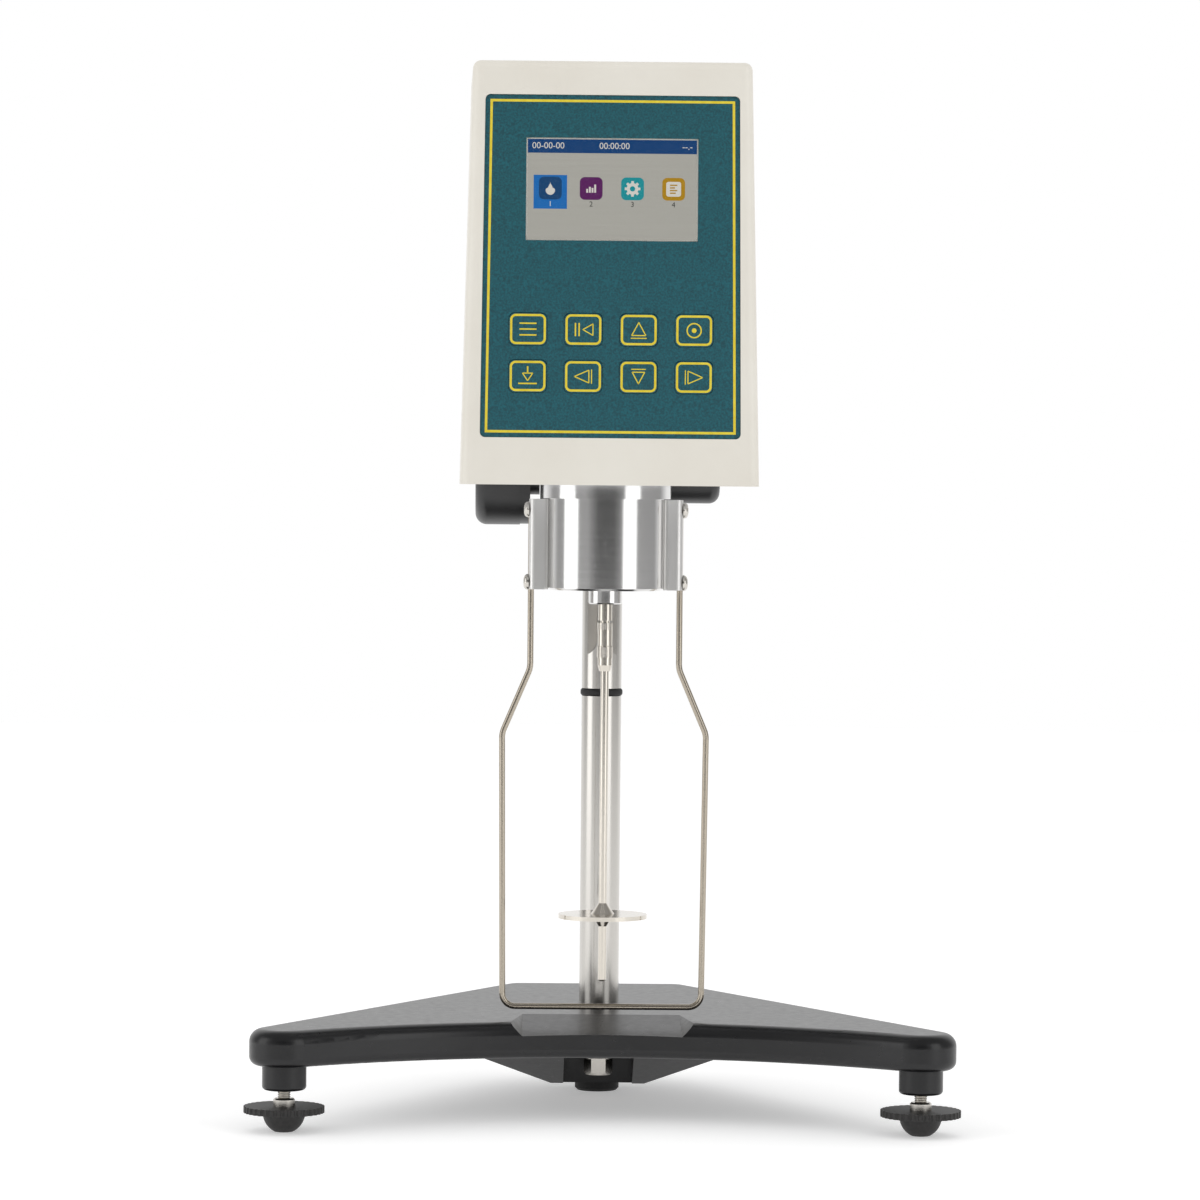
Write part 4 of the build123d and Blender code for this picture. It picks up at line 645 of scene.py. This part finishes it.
# %% Key signs
SIGN_LINE = 0.38
signs = {
    "up": [triangle("up", 6.0, 5.5, y=0.5), rectangle("bar", 6.0, SIGN_LINE, y=-3.1)],
    "down": [triangle("down", 5.4, 5.0, pi, y=-0.5), rectangle("bar", 5.4, SIGN_LINE, y=2.9)],
    "left": [triangle("left", 5.4, 6.2, pi / 2, x=-0.7), rectangle("bar", SIGN_LINE, 5.4, x=3.2)],
    "right": [triangle("right", 5.4, 6.2, -pi / 2, x=0.7), rectangle("bar", SIGN_LINE, 5.4, x=-3.2)],
    "menu": [rectangle("bar", 6.4, 0.55, y=step * 2.2) for step in (-1, 0, 1)],
    "back": [rectangle("bar", 0.55, 5.0, x=-3.0), rectangle("bar", 0.55, 5.0, x=-1.6),
             triangle("play", 5.0, 4.4, pi / 2, x=1.6)],
    "save": [rectangle("tray", 7.0, 0.55, y=-2.8), triangle("arrow", 4.6, 3.4, pi, y=-0.4),
             rectangle("stem", 0.55, 2.6, y=2.4)],
    "ok": [disc("ring", 2.9, line=0.5), disc("dot", 0.9)],
}
for key, shapes in signs.items():
    sign = sheet_of(join(shapes, f"key_{key}_sign"))
    settle(sign, f"{key}_key", ink, face_place(f"key_{key}", KEY_THICKNESS), smooth=None)
print("signs on", len(signs), "keys")

# %% [markdown]
# ## The lit display
#
# The picture on the screen is a stack of very thin shapes on the display's face, just behind the
# window: a grey ground, a blue bar with plain digits, four round-cornered tiles with their signs,
# and a bright field behind the first. Digits are text objects that are made a mesh before they
# are placed. Words that label the tiles are left out, and plain numbers stand in their places.

# %% Screen ground, bar and tiles
WINDOW_THICKNESS = 0.9 * MM
PICTURE_DEPTH = 0.3 * MM     # the picture's ground lies this far behind the window
LAYER = 0.03 * MM
window_front = face_place("display_window", WINDOW_THICKNESS)
ground_place = window_front @ Matrix.Translation((0, 0, -WINDOW_THICKNESS - PICTURE_DEPTH))
screen_low, screen_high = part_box("display_window")
screen_width = (screen_high.x - screen_low.x) / MM - 0.4
screen_height = (screen_high.z - screen_low.z) / MM - 0.4
BAR_HEIGHT = 5.4
TILE, TILE_CORNER = 8.6, 1.9
tile_columns = (-23.3, -7.9, 7.7, 23.2)
TILE_Y = 0.4
lights = {name: screen_light(name, colour) for name, colour in {
    "screen_grey": "#ACAAA2", "screen_navy": "#043C72", "screen_blue": "#1468B2",
    "screen_deep": "#08406F", "screen_purple": "#571459", "screen_teal": "#138E96",
    "screen_amber": "#AD830A", "screen_white": "#D5D2CA", "screen_black": "#22221F"}.items()}


def on_screen(name, shapes, colour, layer):
    """Join flat shapes into one layer of the picture."""
    piece = sheet_of(join(shapes, name), LAYER)
    place = ground_place @ Matrix.Translation((0, 0, layer * LAYER))
    return settle(piece, "head", lights[colour], place, smooth=None)


on_screen("screen_ground", [rectangle("ground", screen_width, screen_height)], "screen_grey", 0)
bar_y = (screen_height - BAR_HEIGHT) / 2
on_screen("screen_bar", [rectangle("bar", screen_width, BAR_HEIGHT, y=bar_y)], "screen_navy", 1)
on_screen("screen_field", [rectangle("field", 12.6, 12.8, tile_columns[0], TILE_Y - 1.4)], "screen_blue", 1)
for column, (tile_x, colour) in enumerate(zip(tile_columns, ("deep", "purple", "teal", "amber"))):
    tile = rectangle("tile", TILE, TILE, tile_x, TILE_Y, TILE_CORNER)
    on_screen(f"screen_tile_{column}", [tile], f"screen_{colour}", 2)
print("screen", round(screen_width, 1), "by", round(screen_height, 1), "mm")


# %% Signs on the tiles
def drop_shape(x, y):
    """A drop: a disc drawn up to a point."""
    piece = disc("drop", 1.75, x, y - 0.8)
    with editing(piece):
        choose(piece, lambda place: place.y > (y - 0.1) * MM)
        top = (x * MM, (y - 0.8) * MM, 0)
        bpy.ops.transform.resize(value=(0.5, 1.35, 1), center_override=top)
        choose(piece, lambda place: place.y > (y + 0.9) * MM)
        bpy.ops.transform.resize(value=(0.12, 1.35, 1), center_override=top)
    return piece


def cog_shape(x, y, teeth=8):
    """A cog: bars through a ring, and the ring."""
    shapes = [disc("cog", 2.2, x, y, line=1.2)]
    for tooth in range(teeth):
        bar = rectangle("tooth", 1.0, 0.9, 0, 2.5)
        swing = Matrix.Rotation(2 * pi * tooth / teeth, 4, "Z")
        bar.data.transform(Matrix.Translation((x * MM, y * MM, 0)) @ swing)
        shapes.append(bar)
    return shapes


curve = [rectangle("bar", 0.7, height, tile_columns[1] - 1.5 + step, TILE_Y - 1.6 + height / 2)
         for step, height in enumerate((1.4, 2.2, 1.8, 3.1))]
page = [rectangle("page", 5.6, 5.6, tile_columns[3], TILE_Y, 0.9)]
lines = [rectangle("line", width, 0.5, tile_columns[3] - 1.4 + width / 2, TILE_Y + 1.5 - step)
         for step, width in enumerate((2.8, 1.9, 2.8, 2.2))]
on_screen("screen_drop", [drop_shape(tile_columns[0], TILE_Y)], "screen_white", 3)
on_screen("screen_chart", curve, "screen_white", 3)
on_screen("screen_cog", cog_shape(tile_columns[2], TILE_Y), "screen_white", 3)
on_screen("screen_page", page, "screen_white", 3)
on_screen("screen_lines", lines, "screen_amber", 4)
print("four tile signs")


# %% Digits
def digits(text, size, x, y, align="CENTER"):
    """Plain characters as a flat mesh, size millimetres high."""
    bpy.ops.object.select_all(action="DESELECT")
    bpy.ops.object.text_add()
    label = bpy.context.active_object
    label.data.body, label.data.size = text, size * 1.4 * MM
    label.data.align_x, label.data.align_y = align, "CENTER"
    bpy.ops.object.convert(target="MESH")
    label = bpy.context.active_object
    label.data.transform(Matrix.Translation((x * MM, y * MM, 0)))
    return label


half = screen_width / 2
on_screen("screen_clock", [digits("00-00-00", 2.4, -half + 1.8, bar_y, "LEFT"),
                           digits("00:00:00", 2.4, 0.8, bar_y),
                           digits("--.-", 2.4, half - 1.8, bar_y, "RIGHT")], "screen_white", 2)
for column, tile_x in enumerate(tile_columns):
    colour = "screen_black" if column else "screen_white"
    on_screen(f"screen_number_{column}", [digits(str(column + 1), 2.0, tile_x, TILE_Y - 6.0)], colour, 3)
print("digits on the screen")

# %% [markdown]
# ## Knurls on the coupling
#
# The sleeve and the spindle's hub are gripped by fingers, so each has a knurled band. A knurl is
# a circle whose every second vertex is drawn in, extruded along the axis. The sleeve is hollow, so
# a smaller turned bar is cut out of its band. A bump in the material would be lighter, but real
# ridges break the outline of the part where it stands against the light.


# %% Knurled bands
RIDGE_STEEPNESS = 2.2        # a ridge's depth against its width


def knurl(name, radius, bottom, top, ridges, bore=None):
    """A band of straight ridges round the Z axis, hollow if a bore radius is given."""
    band = start(bpy.ops.mesh.primitive_circle_add, name, vertices=2 * ridges, radius=radius * MM,
                 fill_type="NGON", location=(0, 0, bottom * MM))
    bpy.ops.object.transform_apply(location=True)
    valley = 1 - RIDGE_STEEPNESS / ridges
    for at, vertex in enumerate(band.data.vertices):
        if at % 2:
            vertex.co.x, vertex.co.y = vertex.co.x * valley, vertex.co.y * valley
    with editing(band):
        bpy.ops.mesh.extrude_region_move(TRANSFORM_OT_translate={"value": (0, 0, (top - bottom) * MM)})
        bpy.ops.mesh.select_all(action="SELECT")
        bpy.ops.mesh.normals_make_consistent(inside=False)
    if bore:
        cut(band, turned("bore", [(bore, bottom - 1), (bore, top + 1)], 2 * ridges))
    return band


spindle_line = Matrix.Translation((0, SPINDLE_Y, 0))
sleeve_low, sleeve_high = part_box("coupling_sleeve")
sleeve_radius = (sleeve_high.x - sleeve_low.x) / 2 / MM
hub_low, hub_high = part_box("spindle_hub")
hub_radius = (hub_high.x - hub_low.x) / 2 / MM
KNURL_PROUD = 0.08
SLEEVE_BAND, HUB_BAND = 2.6, 3.9
SLEEVE_EDGE, HUB_EDGE, RING_WALL = 0.15, 0.3, 0.35
band_top = sleeve_high.z / MM - SLEEVE_EDGE
sleeve_band = knurl("sleeve_knurl", sleeve_radius + KNURL_PROUD, band_top - SLEEVE_BAND, band_top, 30,
                    bore=sleeve_radius - RING_WALL)
settle(sleeve_band, "sleeve", zinc, spindle_line)
hub_top = hub_high.z / MM - HUB_EDGE
hub_band = knurl("hub_knurl", hub_radius + KNURL_PROUD, hub_top - HUB_BAND, hub_top, 34)
settle(hub_band, "spindle", zinc, spindle_line)
print("two knurled bands")

# %% [markdown]
# ## Screws
#
# The guard's bars are held by pan-head screws with a cross recess, and the carriage by socket
# screws. Both are turned from a profile and then cut: a cross of two thin blocks, or a six-sided
# bar. They stand for the plain screws of the frame, in the same places.

# %% Pan-head screws of the guard
PAN_RADIUS, PAN_HEIGHT, SHANK_RADIUS, SHANK_LENGTH = 3.1, 2.1, 1.5, 10.8
pan = turned("pan_screw", [(SHANK_RADIUS, -SHANK_LENGTH), (SHANK_RADIUS, 0), (PAN_RADIUS, 0),
                           (PAN_RADIUS, 0.5), (2.9, 1.15), (2.4, 1.7), (1.6, 2.0), (0.7, PAN_HEIGHT)])
for across in ((3.4, 0.62), (0.62, 3.4)):
    blade = start(bpy.ops.mesh.primitive_cube_add, "blade", size=MM, location=(0, 0, PAN_HEIGHT * MM))
    with editing(blade):
        bpy.ops.transform.resize(value=(*across, 2.0), center_override=(0, 0, PAN_HEIGHT * MM))
        choose(blade, lambda place: place.z < PAN_HEIGHT * MM)
        bpy.ops.transform.resize(value=(0.55, 0.55, 1), center_override=(0, 0, 0))
    cut(pan, blade)
guard_low, guard_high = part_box("guard_screws")
guard_screw_y = (guard_low.y + guard_high.y) / 2
screw_heights = (guard_low.z + PAN_RADIUS * MM, guard_high.z - PAN_RADIUS * MM)
pans = []
for side in (-1, 1):
    for height in screw_heights:
        seat = side * (guard_high.x - PAN_HEIGHT * MM)
        place = (Matrix.Translation((seat, guard_screw_y, height)) @ Matrix.Rotation(side * pi / 2, 4, "Y")
                 @ Matrix.Rotation(0.5 + side * 0.9 + height * 30, 4, "Z"))
        pans.append(copy_of(pan, "pan_copy", place))
bpy.data.objects.remove(pan)
guard_screws = settle(join(pans, "guard_pan_screws"), "head", zinc)
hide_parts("guard_screws")
print(len(pans), "pan-head screws")

# %% Socket screws of the carriage
HEAD_RADIUS, HEAD_HEIGHT, BODY_RADIUS, HEX_ACROSS = 3.5, 4.0, 2.0, 3.0
low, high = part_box("carriage_screws")
seat_y = high.y / MM - HEAD_HEIGHT
reach = seat_y - low.y / MM
socket_screw = turned("socket_screw", [(BODY_RADIUS, -reach), (BODY_RADIUS, 0), (HEAD_RADIUS, 0),
                                       (HEAD_RADIUS, HEAD_HEIGHT - 0.4), (HEAD_RADIUS - 0.4, HEAD_HEIGHT)])
hex_radius = HEX_ACROSS / sqrt(3)
cut(socket_screw, turned("key_hole", [(hex_radius, HEAD_HEIGHT - 2), (hex_radius, HEAD_HEIGHT + 1)], 6))
sockets = []
for x in (low.x + HEAD_RADIUS * MM, high.x - HEAD_RADIUS * MM):
    for z in (low.z + HEAD_RADIUS * MM, high.z - HEAD_RADIUS * MM):
        place = Matrix.Translation((x, seat_y * MM, z)) @ Matrix.Rotation(-pi / 2, 4, "X")
        sockets.append(copy_of(socket_screw, "socket_copy", place))
bpy.data.objects.remove(socket_screw)
carriage_screws = settle(join(sockets, "carriage_socket_screws"), "head", zinc)
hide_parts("carriage_screws")
print(len(sockets), "socket screws")

# %% [markdown]
# ## Threads of the levelling feet
#
# The feet are M5 screws, and a few turns of the thread show between the wheel's collar and the
# arm. At this size a stack of rings reads as a thread, so the stud is turned with a zigzag: the
# profile steps in and out once each 0.8 mm. It stands for the plain stud of the frame.

# %% Foot studs
THREAD_PITCH, CREST, ROOT = 0.8, 2.5, 2.08
PIN_RADIUS, WHEEL_FACE = 1.5, 3.8
COLLAR_RADIUS, COLLAR_BOTTOM, COLLAR_TOP, COLLAR_BEVEL = 4.2, 6.3, 9.4, 0.6
for side in ("left", "right"):
    low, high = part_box(f"{side}_foot_stud")
    length = (high.z - low.z) / MM
    profile = [(PIN_RADIUS, 0), (PIN_RADIUS, WHEEL_FACE), (CREST, WHEEL_FACE), (CREST, COLLAR_BOTTOM),
               (COLLAR_RADIUS, COLLAR_BOTTOM), (COLLAR_RADIUS, COLLAR_TOP - COLLAR_BEVEL),
               (COLLAR_RADIUS - COLLAR_BEVEL, COLLAR_TOP), (ROOT, COLLAR_TOP)]
    turns = int((length - COLLAR_TOP) / THREAD_PITCH)
    for step in range(turns):
        foot = COLLAR_TOP + step * THREAD_PITCH
        profile += [(CREST, foot + THREAD_PITCH * 0.4), (CREST, foot + THREAD_PITCH * 0.55),
                    (ROOT, foot + THREAD_PITCH)]
    stud = turned(f"{side}_foot_threads", profile, 32)
    place = Matrix.Translation(((low.x + high.x) / 2, (low.y + high.y) / 2, low.z))
    settle(stud, f"{side}_screw", zinc, place)
    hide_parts(f"{side}_foot_stud")
print("thread turns on a stud:", turns)

# %% [markdown]
# ## Signs on the back and the bubble on top
#
# The rocker of the mains switch has the usual line and ring, in the panel's ink. They lean with
# the rocker, so their matrix starts at its joint. The round level on top has a ring that the
# bubble is centred in. The bubble is a low turned cap, because only its top is ever seen.

# %% Rocker signs
ROCKER_TILT, ROCKER_FACE = radians(10), 4.0
low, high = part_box("switch_rocker")
rocker_x = (low.x + high.x) / 2
tilt_out = Vector((0, cos(ROCKER_TILT), sin(ROCKER_TILT)))
tilt_up = Vector((0, -sin(ROCKER_TILT), cos(ROCKER_TILT)))
joint = next(entry for entry in frame["joints"] if entry["name"] == "rocker_tilt")
pivot = Vector((rocker_x, joint["pos_m"][1], joint["pos_m"][2]))
rocker_turn = Matrix((Vector((-1, 0, 0)), tilt_up, tilt_out)).transposed().to_4x4()
line_mark, ring_mark = rectangle("line_mark", 0.6, 3.0, y=4.6), disc("ring_mark", 1.5, y=-4.4, line=0.5)
marks = join([line_mark, ring_mark], "rocker_marks")
MARK_SINK, MARK_THICKNESS = 0.24, 0.1    # the face is hollow, and the marks follow it half way down
place = Matrix.Translation(pivot + tilt_out * (ROCKER_FACE - MARK_SINK) * MM) @ rocker_turn
settle(sheet_of(marks, MARK_THICKNESS * MM), "rocker", ink, place, smooth=None)
print("rocker marks")

# %% Bubble level
low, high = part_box("level_vial")
level_centre = Matrix.Translation(((low.x + high.x) / 2, (low.y + high.y) / 2, high.z))
level_ring = sheet_of(disc("level_ring", 2.9, line=0.3))
settle(level_ring, "head", socket_black, level_centre, smooth=None)
bubble = turned("level_bubble", [(2.0, 0.0), (1.95, 0.08), (1.6, 0.16), (0.9, 0.2)], 32)
settle(bubble, "head", acrylic, level_centre)
print("bubble level")

# %% [markdown]
# ## Floor and light
#
# Such instruments are photographed on a white sweep between two big soft boxes, in a room that
# is dark behind the camera. The dark room gives the polished cup its black stripe, so the world
# is dark there, for mirrored rays only. The white of the ground comes from the floor's and the
# world's own brightness, where a camera, a mirror or a window looks at them. More light could
# whiten the ground too, but it would bleach the instrument.

# %% Floor
FLOOR_GLOW, FLOOR_RADIUS, FLOOR_DROP = 0.36, 3.0, 0.0001
bpy.ops.object.select_all(action="DESELECT")
bpy.ops.mesh.primitive_circle_add(vertices=96, radius=FLOOR_RADIUS, fill_type="NGON",
                                  location=(0, 0, -FLOOR_DROP))
floor = bpy.context.active_object
floor.name = "floor"
sweep, tree, floor_shader = finish("white_sweep", "#E8E8E8", Roughness=0.9)
seen = 0.0
for ray in ("Is Camera Ray", "Is Glossy Ray", "Is Transmission Ray"):
    looks = node(tree, "ShaderNodeLightPath", {}, ray)
    seen = node(tree, "ShaderNodeMath", {0: seen, 1: looks}, operation="MAXIMUM")
glow = node(tree, "ShaderNodeMath", {0: seen, 1: FLOOR_GLOW}, operation="MULTIPLY")
fill(floor_shader, {"Emission Color": (1, 1, 1, 1), "Emission Strength": glow})
floor.data.materials.append(sweep)
print("floor glow", FLOOR_GLOW)

# %% World
AMBIENT = 0.86               # what matt surfaces get from all round
DARK, DIM, WHITE = 0.04, 0.34, 1.0
world = bpy.data.worlds.new("bright_room")
bpy.context.scene.world = world
world.use_nodes = True
tree = world.node_tree
look = node(tree, "ShaderNodeTexCoord", {}, "Generated")
depth = node(tree, "ShaderNodeSeparateXYZ", {"Vector": look}, "Y")
near = node(tree, "ShaderNodeMapRange", {"Value": depth, "From Min": -0.97, "From Max": -0.8,
                                         "To Min": DARK, "To Max": DIM})
far = node(tree, "ShaderNodeMapRange", {"Value": depth, "From Min": 0.35, "From Max": 0.7,
                                        "To Min": 0.0, "To Max": WHITE - DIM})
room = node(tree, "ShaderNodeMath", {0: near, 1: far}, operation="ADD")
strength = AMBIENT
for ray, brightness in (("Is Glossy Ray", room), ("Is Camera Ray", WHITE), ("Is Transmission Ray", WHITE)):
    looks = node(tree, "ShaderNodeLightPath", {}, ray)
    strength = node(tree, "ShaderNodeMix", {"Factor": looks, "A": strength, "B": brightness})
fill(tree.nodes["Background"], {"Color": (1, 1, 1, 1), "Strength": strength})
print("ambient level", AMBIENT)


# %% Soft boxes
def soft_box(name, azimuth, width, radiance):
    """A soft box at an angle from the camera's side, aimed at the instrument, of a brightness."""
    distance, height, tall, aim = 1.8, 0.55, 1.6, Vector((0, SPINDLE_Y, 0.25))
    place = Vector((distance * sin(azimuth), SPINDLE_Y - distance * cos(azimuth), height))
    bpy.ops.object.light_add(type="AREA", location=place)
    lamp = bpy.context.active_object
    lamp.name = name
    lamp.data.shape, lamp.data.size, lamp.data.size_y = "RECTANGLE", width, tall
    lamp.data.energy = radiance * pi * width * tall
    lamp.rotation_euler = (place - aim).to_track_quat("Z", "Y").to_euler()
    lamp.visible_camera = False


soft_box("left_soft_box", radians(-74), 1.1, 1.35)
soft_box("right_soft_box", radians(47), 0.95, 1.35)
print("two soft boxes")
